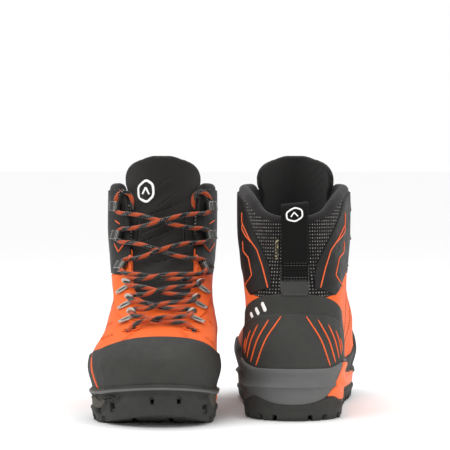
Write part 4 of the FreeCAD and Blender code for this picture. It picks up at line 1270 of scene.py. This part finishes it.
# ---- heel loop, patch and tag --------------------------------------------------------------------
LOOP_WIDTH = 23.0
LOOP_PATH = [(-139.0, 134.5), (-139.9, 139), (-142.6, 148.5), (-146.9, 163.2), (-148.5, 176), (-147.1, 182.4),
             (-144.2, 184.8), (-141.2, 183), (-139.7, 177), (-138.6, 163), (-138.0, 149), (-137.8, 141)]
LOOP_MIDDLE = -1.8


def make_pull_loop():
    corners = np.array(LOOP_PATH)
    run = run_along(corners)
    t = np.linspace(0, run[-1], 80)
    path = np.stack([smooth_rows(t, run, corners[:, k]) for k in (0, 1)], 1)
    ahead = np.gradient(path, axis=0)
    ahead /= np.linalg.norm(ahead, axis=1, keepdims=True)
    out = np.stack([-ahead[:, 1], ahead[:, 0]], 1)
    half, thick, bevel = LOOP_WIDTH / 2, 0.75, 0.45
    section = [(-half, bevel - thick), (bevel - half, -thick), (half - bevel, -thick), (half, bevel - thick),
               (half, thick - bevel), (half - bevel, thick), (bevel - half, thick), (-half, thick - bevel)]
    fine = []
    for (a, b), (c, d) in zip(section, section[1:] + section[:1]):
        steps = 10 if abs(c - a) > 10 else 1
        fine += [(a + (c - a) * i / steps, b + (d - b) * i / steps) for i in range(steps)]
    fine = np.array(fine)

    def skew(x, z):
        return z - x * 0.11 * fade(z, 140, 190)

    rings = np.zeros((len(path), len(fine), 3))
    for j, (across, height) in enumerate(fine):
        rings[:, j, 0] = across + LOOP_MIDDLE
        rings[:, j, 1] = path[:, 0] + out[:, 0] * height
        rings[:, j, 2] = skew(across, path[:, 1] + out[:, 1] * height)
    mesh = Mesh()
    edge = np.concatenate([fine[:, 0], fine[:1, 0]])
    loft(mesh, rings, 0, (run_along(path), edge))
    flip_uv(mesh)
    publish("pull_loop_webbing", mesh, ["webbing"], "pull_loop", ["pull_loop"])

    def place(a, b, height):
        z = 175.5 + b
        y = np.interp(z, path[:35, 1], path[:35, 0]) - thick - height
        return np.array([-a + LOOP_MIDDLE, y, skew(-a, z)])

    mesh = generic_mark(Mesh(), place, np.array([15.0, 12.0]), 0.4)
    publish("pull_loop_mark", mesh, ["white_print"], "pull_loop")


def flip_uv(mesh):
    """Swaps u and v, so that ribs run across a tape."""
    mesh.uv = [places[..., ::-1] for places in mesh.uv]


def make_patch():
    half = LOOP_WIDTH / 2 + 0.8

    outline = [(1.5 - half, 105.5), (half - 1.5, 105.5), (half, 112), (half, 135), (-half, 135), (-half, 112)]

    def region(z, p):
        return np.where(p[:, 1] < 0, within(outline, p[:, 0] - LOOP_MIDDLE, z), OUTSIDE)

    def ridges(s, z, p, distance):
        return 0.3 * np.cos((z - 112) / 3.2 * 2 * math.pi) * fade(distance, 0, 2) * fade(z, 121, 123)

    def block(s, z, p):
        return np.minimum(region(z, p), z - 119.0)

    def foot(s, z, p):
        return np.minimum(region(z, p), 118.9 - z)

    area = {"under": -0.4, "span": (104, 140), "turn": (-0.12, 0.12), "step": 0.9}
    mesh = panel(Mesh(), block, 2.0, edge=1.2, relief=ridges, **area)
    panel(mesh, foot, 2.2, edge=1.6, finish=1, **area)
    publish("strap_patch", mesh, ["webbing", "heel_rubber"], BOOT, ["heel_strap_patch"])
    thread = Mesh()
    rows = [[(2.6 - half, z), (half - 2.6, z)] for z in (107.2, 119.2, 121.4, 131.6, 133.6)]
    rows += [[(side * (half - 1.3), 113), (side * (half - 1.3), 134)] for side in (1, -1)]
    for row in rows:
        places = line_on("back", [(LOOP_MIDDLE + x, z) for x, z in row], rounded=False)
        stitches(thread, places, 2.2, 1.6, 0.9, 0.26)
    publish("strap_stitching", thread, ["thread"], BOOT)

    label = [(11.4, 136.3), (14.9, 136.3), (14.9, 153.8), (11.4, 153.8)]

    def tag(s, z, p):
        return np.where(p[:, 1] < 0, within(label, p[:, 0], z), OUTSIDE)

    mesh = panel(Mesh(), tag, 0.7, 0.0, under=-0.3, span=(134, 156), turn=(0, 0.1), step=0.9, edge=0.4)
    publish("woven_tag", mesh, ["tag_weave"], BOOT, ["side_tag"])


# ---- rings, hooks, rivets and lace ---------------------------------------------------------------
SLOT = (22.2, 78.0)
RINGS = [(24.2, 85.8), (26.4, 97.4), (29.2, 110.2)]
HOOKS = [(34.6, 124.2), (38.0, 152.0), (39.2, 178.8)]
RING_OFFSET, RING_PLATE_LIFT = 6.0, 1.75
HOOK_LIFT, HOOK_THICK, HOOK_GAP = 1.8, 1.0, 5.0


def on_front(x, z, offset):
    x, z = np.array([float(x)]), np.array([float(z)])
    s = from_end(x, z, True)
    normal = normals(form_point, s, z)[0]
    return form_point(s, z)[0] + normal * offset, normal


def local_frame(side, half, z):
    point, normal = on_front(lacing_middle(z) + side * half, z, 0)
    up = np.array([0, 0, 1.0]) - normal * normal[2]
    up /= np.linalg.norm(up)
    out = np.cross(up, normal)
    if out[0] * side < 0:
        out = -out
    return point, normal, up, out


def make_hardware():
    rings, hooks, rivets = Mesh(), Mesh(), Mesh()
    for side in (-1, 1):
        for half, z in RINGS:
            point, normal, up, out = local_frame(side, half, z)
            turn = math.radians(50)
            way = out * math.cos(turn) - up * math.sin(turn)
            cross = np.cross(normal, way)
            make_ring(rings, point, normal, out, way, cross)
            rivet_head(rivets, point + way * 12.2 + normal * (RING_PLATE_LIFT + 0.9), normal, 1.5)
        for half, z in HOOKS:
            point, normal, up, out = local_frame(side, half, z)
            make_hook(hooks, point, normal, up, out)
            rivet_head(rivets, point + out * 3.4 + normal * (HOOK_LIFT + HOOK_THICK), normal, 1.7)
    publish("lacing_rings", rings, ["steel", "black_lacquer"], BOOT, ["lace_rings"])
    publish("lacing_hooks", hooks, ["black_lacquer", "bright_edge"], BOOT, ["speed_hooks"],
            sharp=25)
    publish("rivet_heads", rivets, ["steel"], BOOT, ["rivets"])


def make_ring(mesh, point, normal, out, way, cross):
    """A stamped loop that stands on a slotted tail plate."""
    arch = []
    for a in np.linspace(-100, 100, 25):
        turn = math.radians(a)
        arch.append(point + normal * (RING_OFFSET - 0.3 + 3.5 * math.cos(turn) * 0.95)
                    + out * 3.4 * math.sin(turn))
    arch = np.array(arch)
    tube(mesh, arch, 1.05, 10, 0, 1.7, np.broadcast_to(normal, arch.shape) + (arch - point) * 0.2)
    reach, half = 7.25, 3.4
    outer, inner = [], []
    for a in round_angles(32):
        along = math.copysign(abs(math.cos(a)) ** 0.75, math.cos(a))
        across = (1.0 - 0.28 * math.cos(a)) * math.sin(a)
        outer.append((reach + reach * along, half * across))
        inner.append((reach + 0.9 + (reach - 3.4) * along, (half - 2.1) * across))
    drawn_in = [(reach + (a - reach) * 0.975, b * 0.93) for a, b in outer]
    levels = [(outer, 0.0), (outer, 0.65), (drawn_in, 0.95), ([(a, b * 1.12) for a, b in inner], 0.95),
              (inner, 0.75), (inner, 0.0)]
    loops = [[point + way * (a - 1.0) + cross * b + normal * (RING_PLATE_LIFT + h) for a, b in ring]
             for ring, h in levels]
    loft(mesh, loops, 0, closed=True)
    # Painted shade: a thin dark plug fills the hole of the tail plate, which is only in shadow.
    dark = [point + way * (a - 1.0) + cross * b + normal * (RING_PLATE_LIFT - 0.2) for a, b in inner]
    lift = [p + normal * 0.45 for p in dark]
    loft(mesh, [dark, lift], 1)


def make_hook(mesh, point, normal, up, out):
    """Bent sheet, open towards the outside, so that the lace drops in behind it."""
    base, top = HOOK_LIFT, HOOK_LIFT + HOOK_THICK + HOOK_GAP
    inner, outer, thick = -4.4, 5.6, HOOK_THICK
    sole, roof = base + thick, top + thick
    profile = [(outer, base), (outer, sole), (inner + 2.2, sole), (inner + 1.3, sole + 0.5),
               (inner + thick, sole + 1.4), (inner + thick, top - 1.2), (inner + 1.5, top - 0.3),
               (inner + 2.4, top), (outer - 1.6, top), (outer - 0.6, top + 0.5), (outer - 1.2, roof + 0.3),
               (outer - 2.2, roof), (inner + 2.0, roof), (inner + 0.6, top + 0.5), (inner, top - 0.9),
               (inner, base + 1.6), (inner + 0.5, base + 0.4), (inner + 1.6, base)]
    outline = [point + out * a + normal * b - up * 4.1 for a, b in profile]
    # The bevels take the bright silver finish, a painted highlight along the hook's edges.
    solid(mesh, outline, up * 8.2, 0.2, 0, 1, 1)


def rivet_head(mesh, point, normal, radius):
    first = np.cross(normal, [0.3, 0.5, 0.8])
    first /= np.linalg.norm(first)
    second = np.cross(normal, first)
    rings = []
    for share, height in ((1.0, -0.4), (1.0, 0.1), (0.92, 0.3), (0.72, 0.48), (0.5, 0.5), (0.42, 0.3),
                          (0.2, 0.26)):
        rings.append([point + normal * height + (first * math.cos(a) + second * math.sin(a)) * radius * share
                      for a in round_angles(16)])
    loft(mesh, rings)


def lace_points(first_side):
    """Half of the lace: from a slot at the bottom, crossing at each row, to its tucked end."""
    side, over_ = first_side, first_side > 0
    half, z = SLOT

    def place(side, half, z, offset):
        return on_front(lacing_middle(z) + side * half, z, offset)[0]

    points = [place(side, half + 6.5, z - 2.6, 0.6), place(side, half + 2.5, z - 0.6, 2.9),
              place(side, half - 3, z + 1.5, 4.2)]
    stations = [(h, zz, 2.8, RING_OFFSET) for h, zz in RINGS]
    stations += [(h, zz, 6.6, HOOK_LIFT + HOOK_THICK + HOOK_GAP / 2) for h, zz in HOOKS]
    last_half, last_z = half, z + 1.0
    for row, (half, z, bend, offset) in enumerate(stations):
        low_z, high_z = last_z, z - bend
        for share in (-0.5, 0.0, 0.5):
            if row == 0 and share < 0:
                continue
            width = last_half if share < 0 else half
            height = low_z + (high_z - low_z) * (0.5 + share)
            rise = (7.6 if over_ else 3.3) if share == 0 else 4.9
            points.append(place(-side if share > 0 else side, abs(share) * 1.1 * width, height, rise))
        side = -side
        points.append(place(side, half, z - bend, offset))
        points.append(place(side, half, z + bend, offset))
        last_half, last_z = half, z + bend
        over_ = not over_
    tucked = [(34.0, 193.0, 4.4), (29.6, 191.0, -1.2), (30.2, 184.0, -4.85), (31.5, 177.0, -4.85)]
    return np.array(points + [place(side, *end) for end in tucked])


def rounded_run(points):
    """One smooth curve that starts and ends at the outer points and turns near the others."""
    middles = (points[:-1] + points[1:]) / 2
    starts = [points[0]] + list(middles[1:])
    ends = list(middles[1:-1]) + [points[-1]]
    run = []
    for a, b, c in zip(starts[:len(ends)], points[1:-1], ends):
        for t in np.linspace(0, 1, 14, endpoint=False):
            run.append((1 - t) ** 2 * a + 2 * t * (1 - t) * b + t * t * c)
    run.append(points[-1])
    return resample(run, 0.85)


def make_lace():
    mesh = Mesh()

    def braid(run, turn):
        a = np.sin(2 * math.pi * (run / 4.4 + 2 * turn))
        b = np.sin(2 * math.pi * (run / 4.4 - 2 * turn))
        return LACE_RADIUS * (0.97 + 0.06 * np.maximum(a, b))

    for side in (-1, 1):
        path = rounded_run(lace_points(side))
        tube(mesh, path, braid, 16)
    publish("braided_lace", mesh, ["lace"], BOOT, ["lace"], sharp=80)
    mesh = Mesh()
    for side in (-1, 1):
        half, z = SLOT
        centre, normal, up, out = local_frame(side, half + 3.4, z - 0.8)
        along = out * 0.93 - up * 0.36
        across = np.cross(normal, along)
        ring = [(math.cos(a) * 7.4, math.sin(a) * 2.5) for a in round_angles(36)]
        rim = np.array([centre + along * a + across * b + normal * 0.7 for a, b in ring])
        tube(mesh, rim, 0.6, 8, 0, 1.0, np.broadcast_to(normal, rim.shape), closed=True)
        # Painted shade: a dark oval fills the slot inside its rim, where the opening is in shadow.
        levels = [[centre + along * a * k + across * b * k + normal * h for a, b in ring]
                  for k, h in ((0.98, -0.6), (0.98, 0.35), (0.5, 0.3))]
        loft(mesh, levels, 1)
    publish("slot_rims", mesh, ["orange_film", "black_lacquer"], BOOT, ["toe_lace_loops"])


# ---- inside the boot -----------------------------------------------------------------------------
def make_inside():
    """Lining of the foot part and the loose footbed."""
    top = curve([(-175, 147), (-70, 147), (-62, 146), (-30, 106), (10, 82), (60, 68.5), (96, 70), (175, 70)])

    def lining(s, z, p):
        return np.minimum(-over(top, p[:, 1], z), -throat(p) - 1.0)

    mesh = panel(Mesh(), lining, 1.0, -5.0, under=-5.0, span=(28, 148), edge=0.9, step=4.0)
    publish("foot_lining", mesh, ["lining"], BOOT, ["lining"])

    s = np.linspace(0, 1, 181)[:-1]
    low, thick = 27.5, 3.3
    rings = []
    for share, height in ((0.0, 0.0), (0.5, 0.0), (0.97, 0.0), (1.0, 0.6), (1.0, thick - 1.0),
                          (0.985, thick - 0.25), (0.96, thick), (0.9, thick - 0.05), (0.7, thick - 0.1),
                          (0.4, thick), (0.0, thick)):
        edge = lifted(form_point, s, np.full(s.shape, low + 0.001), -9.2)
        edge[:, 2] = low + height
        rings.append(edge * [max(share, 0.02), max(share, 0.02), 1])
    mesh = Mesh()
    loft(mesh, rings, 0)
    publish("insole", mesh, ["felt"], "footbed", ["footbed"])


# ---- sole ----------------------------------------------------------------------------------------
GROUND = [(-160, 3.0), (-146, 0), (-66, 0), (-60, 7), (-32, 7.5), (-24, 1.5), (-14, 0), (92, 0), (104, 0.6),
          (118, 2.6), (132, 5.9), (146, 10.2), (160, 15.5)]
TREAD_TOP = [(-160, 13), (-147, 14), (-131, 20.5), (-112, 14.5), (-70, 12.5), (-56, 18), (-26, 18), (-8, 12),
             (96, 12), (108, 14), (116, 20), (122, 40), (160, 46)]
TREAD_DEPTH = 5.5
INSERT_EDGE = [(-138, 16.5), (-131, 24.5), (-126.5, 33), (-123.5, 41), (-119, 48.2), (-106, 47.5), (-92, 44),
               (-80, 39), (-40, 33.5), (0, 29), (40, 26), (84, 24.5)]


def groove_field(x, y):
    """Below 0 inside the grooves of the tread."""
    best = np.full(x.shape, FAR)
    for y0 in (-128, -108, -88, -6, 12, 30, 48, 66, 84, 102, 120):
        for side in (-1, 1):
            a = np.array([side * 6.0, y0])
            b = a + np.array([side * math.cos(math.radians(16)), -math.sin(math.radians(16))]) * 70
            d = b - a
            t = np.clip(((x - a[0]) * d[0] + (y - a[1]) * d[1]) / (d @ d), 0, 1)
            best = np.minimum(best, np.hypot(x - a[0] - t * d[0], y - a[1] - t * d[1]) - 2.25)
    for start, end in ((-156, -62), (-24, 134)):
        for x0 in (-15, 15):
            t = np.clip(y, start, end)
            best = np.minimum(best, np.hypot(x - x0, y - t) - 2.0)
    return best


def make_outsole():
    def wall(s, z, p):
        ground = smooth(p[:, 1], GROUND)
        groove = np.maximum(groove_field(p[:, 0], p[:, 1]), z - ground - TREAD_DEPTH + 0.6)
        field = np.minimum.reduce([z - ground, smooth(p[:, 1], TREAD_TOP) - z, groove,
                                   -over(FEATHER, p[:, 1], z) + 1.0])
        for x0, z0, half, tall in ((-0.6, 23.4, 1.5, 3.4), (-22.6, 23.6, 1.6, 3.4), (45.0, 12.5, 2.0, 4.6),
                                   (33.5, 15.2, 2.1, 4.4), (-43, 13.5, 1.8, 4.0)):
            slot = np.maximum(np.abs(p[:, 0] - x0) - half, np.abs(z - z0) - tall)
            field = np.where(p[:, 1] > 70, np.minimum(field, slot), field)
        return field

    def ridges(s, z, p, distance):
        y = p[:, 1]
        toe = fade(y, 112, 122)
        below = np.minimum(smooth(y, TREAD_TOP), smooth(y, FEATHER)) - z
        arcs = 1.5 * bell(below - 1.6, 1.8) + 0.8 * bell(below - 9.5, 1.2) * toe
        grooves = (1.6 * bell(below - 5.6, 1.4) + 0.9 * bell(below - 16, 1.2)) * toe
        steps = 0.35 * np.sign(np.sin((y + z * 0.6) / 3.1)) * fade(np.abs(y - 20), 100, 80)
        steps = steps * fade(smooth(y, TREAD_TOP) - z, 1.5, 3.0)
        return arcs - grooves + steps * (1 - toe)

    mesh = panel(Mesh(), wall, 1.0, 0.0, under=-4.0, point=sole_point, span=(-1.0, 46.5), edge=1.0, step=2.0,
                 relief=ridges)
    # The tread's underside is a grid cut along the grooves. split() takes x as a share of a turn, so x is in
    # thousandths there.
    columns, rows = 60, 156
    x, y = np.meshgrid(np.linspace(-0.062, 0.062, columns + 1), np.linspace(-156, 154, rows + 1),
                       indexing="ij")
    i, j = np.meshgrid(np.arange(columns), np.arange(rows), indexing="ij")
    i, j = i.ravel(), j.ravel()
    m = rows + 1
    a, b, c, d = i * m + j, (i + 1) * m + j, (i + 1) * m + j + 1, i * m + j + 1
    x, y, tri = x.ravel(), y.ravel(), np.concatenate([np.stack([a, b, c], 1), np.stack([a, c, d], 1)])
    ring = sole_point(np.linspace(0, 1, 241)[:-1], np.full(240, 10.0))
    outline = [(px, py) for px, py in ring[:, :2]]

    def inside(x, y):
        return within(outline, x * 1000, y) - 0.8

    x, y, tri, _ = split(x, y, tri, inside(x, y))
    field = groove_field(x * 1000, y)
    for level in (-0.7, 0.0, 0.8):
        x, y, tri, (field,) = split(x, y, tri, field - level, True, (field,))
    flat = np.stack([x * 1000, y, y * 0], 1)
    tri = clean_triangles(flat, tri)
    used, tri = np.unique(tri, return_inverse=True)
    tri = tri.reshape(-1, 3)
    x, y, field = x[used] * 1000, y[used], field[used]
    ground = smooth(y, GROUND)
    lug = np.interp(field, [-0.7, -0.02, 0.0, 0.8], [0, 0.86, 0.9, 1.0])
    bottom = ground + TREAD_DEPTH * (1 - lug)
    middle = (y > -64) & (y < -22)
    bottom = np.where(middle, ground + 0.6 * (1 - lug), bottom) + 0.15
    inside_top = smooth(y, [(-160, 12), (-60, 11), (-20, 11), (96, 11), (118, 13), (160, 20)])
    top = np.maximum(bottom + 1.5, inside_top)
    count = len(x)
    rim = rim_edges(tri)
    walls = np.stack([rim[:, 0], rim[:, 1], rim[:, 1] + count, rim[:, 0] + count], 1)
    points = np.concatenate([np.stack([x, y, bottom], 1), np.stack([x, y, top], 1)])
    uv = points[:, :2]
    mesh.add(points, [tri[:, ::-1], tri + count, walls], 0, uv)
    publish("outsole_rubber", mesh, ["sole_rubber"], BOOT, ["outsole"])


def make_midsole():
    insert = curve(INSERT_EDGE) + [(84, 15.5), (40, 14), (0, 14.5), (-40, 19.5), (-62, 17), (-80, 14.5),
                                   (-112, 15.8)]

    def inner(s, p, z):
        return np.where(np.mod(s, 1.0) > 0.5, within(insert, p[:, 1], z), OUTSIDE)

    def whole(s, z, p):
        return np.minimum(z - smooth(p[:, 1], TREAD_TOP) + 0.6, -over(FEATHER, p[:, 1], z) + 1.2)

    def grey(s, z, p):
        return np.minimum.reduce([whole(s, z, p), -inner(s, p, z) - 0.05, -24.0 - p[:, 1] + (z - 30) * 0.5])

    def brown(s, z, p):
        return np.minimum.reduce([whole(s, z, p), -inner(s, p, z) - 0.05, 24.0 + p[:, 1] - (z - 30) * 0.5])

    def orange(s, z, p):
        return np.minimum(whole(s, z, p), inner(s, p, z))

    def shape(s, z, p, distance):
        heel = fade(p[:, 1], -70, -100)
        ridge = 2.6 * np.exp(-(np.abs(z - 29.5) / 1.8) ** 1.4) - 1.2 * bell(z - 37.0, 5.0)
        lip = 0.8 * bell(over(FEATHER, p[:, 1], z) + 1.5, 1.4)
        side = 0.54 * bell(z - 22.0 - 4 * fade(p[:, 1], 0, 100), 2.2)
        return heel * ridge + lip + (1 - heel) * side

    skin = {"point": sole_point, "edge": 1.1, "step": 2.2, "relief": shape}
    mesh = panel(Mesh(), grey, 0.9, under=-8.0, span=(10, 52), **skin)
    panel(mesh, brown, 0.9, under=-8.0, span=(10, 44), finish=1, **skin)
    publish("midsole_foam", mesh, ["foam", "sole_brown"], BOOT, ["midsole"])
    mesh = Mesh()
    s = np.linspace(0.31, 0.69, 240)
    z = np.full(s.shape, 30.0)
    for _ in range(10):
        z = smooth(form_point(s, z)[:, 1], FEATHER) - 0.9
    piping(mesh, (s, z), 1.2, 0.95, 2.0, sole_point, ends=12)
    publish("bumper_ridge", mesh, ["foam"], BOOT)
    mesh = Mesh()
    for low in (19.4, 22.6):
        corners = [(50 - 3.6 * i, low + (2.6 if i % 2 else 0)) for i in range(8)]
        s, z = line_on("front", corners, rounded=False, spacing=0.8)
        piping(mesh, (s, z), 0.55, 0.6, 1.9, sole_point)
    publish("sidewall_zigzag", mesh, ["sole_rubber"], BOOT)
    mesh = panel(Mesh(), orange, 1.3, under=-5.0, span=(10, 52), turn=(0.5, 1.0), **skin)
    publish("midsole_color_insert", mesh, ["orange_foam"], BOOT, ["midsole_insert"])


# ---- the whole pair ------------------------------------------------------------------------------
make_materials()
make_upper()
make_cuff_panels()
make_facings()
make_rubber()
make_collar()
make_tongue()
make_badge()
make_pull_loop()
make_patch()
make_hardware()
make_lace()
make_inside()
make_outsole()
make_midsole()

for node, material in (("insole_board", "board"), ("shank", "composite"), ("toe_puff", "stiffener"),
                       ("heel_counter", "stiffener")):
    for boot in PLACES:
        piece = bpy.data.objects[boot + "_" + node]
        if not piece.data.materials:
            piece.data.materials.append(None)
        for place in piece.material_slots:
            place.material = MATERIALS[material]


# ---- floor, light and camera ---------------------------------------------------------------------
def make_floor():
    """A wide pale floor, as bright as the white room round it."""
    data = bpy.data.meshes.new("floor")
    reach, drop = 30.0, -0.0003
    corners = [(-reach, -reach, drop), (reach, -reach, drop), (reach, reach, drop), (-reach, reach, drop)]
    data.from_pydata(corners, [], [(0, 1, 2, 3)])
    floor = bpy.data.objects.new("floor", data)
    bpy.context.collection.objects.link(floor)
    look = Look("paper", roughness=0.9)
    look.set("Base Color", srgb(250, 250, 250))
    data.materials.append(look.material)


def make_light(name, place, target, size, power):
    lamp = bpy.data.lights.new(name, "AREA")
    lamp.shape = "RECTANGLE"
    lamp.size, lamp.size_y = size
    lamp.energy = power
    piece = bpy.data.objects.new(name, lamp)
    piece.location = place
    piece.rotation_euler = (Vector(target) - Vector(place)).to_track_quat("-Z", "Y").to_euler()
    bpy.context.collection.objects.link(piece)


def make_studio():
    make_floor()
    world = bpy.data.worlds.new("studio")
    world.use_nodes = True
    world.node_tree.nodes["Background"].inputs["Color"].default_value = (1, 1, 1, 1)
    world.node_tree.nodes["Background"].inputs["Strength"].default_value = 1.0
    bpy.context.scene.world = world
    make_light("key", (-0.9, -1.3, 1.5), (0, 0, 0.1), (1.2, 1.0), 9)
    make_light("fill", (1.3, -1.0, 1.0), (0, 0, 0.1), (1.0, 1.0), 4)
    make_light("top", (0.0, 0.2, 1.8), (0, 0, 0.0), (1.6, 1.0), 10)
    tilt, distance, height = math.radians(1.7), 2.1, 0.163
    camera = bpy.data.cameras.new("camera")
    camera.sensor_width = 36.0
    camera.lens = 187.2
    piece = bpy.data.objects.new("camera", camera)
    piece.location = (-0.0031, 0.00035 - distance * math.cos(tilt), height + distance * math.sin(tilt))
    piece.rotation_euler = (math.pi / 2 - tilt, 0, 0)
    bpy.context.collection.objects.link(piece)
    bpy.context.scene.camera = piece
    bpy.context.scene.view_settings.view_transform = "Standard"


make_studio()
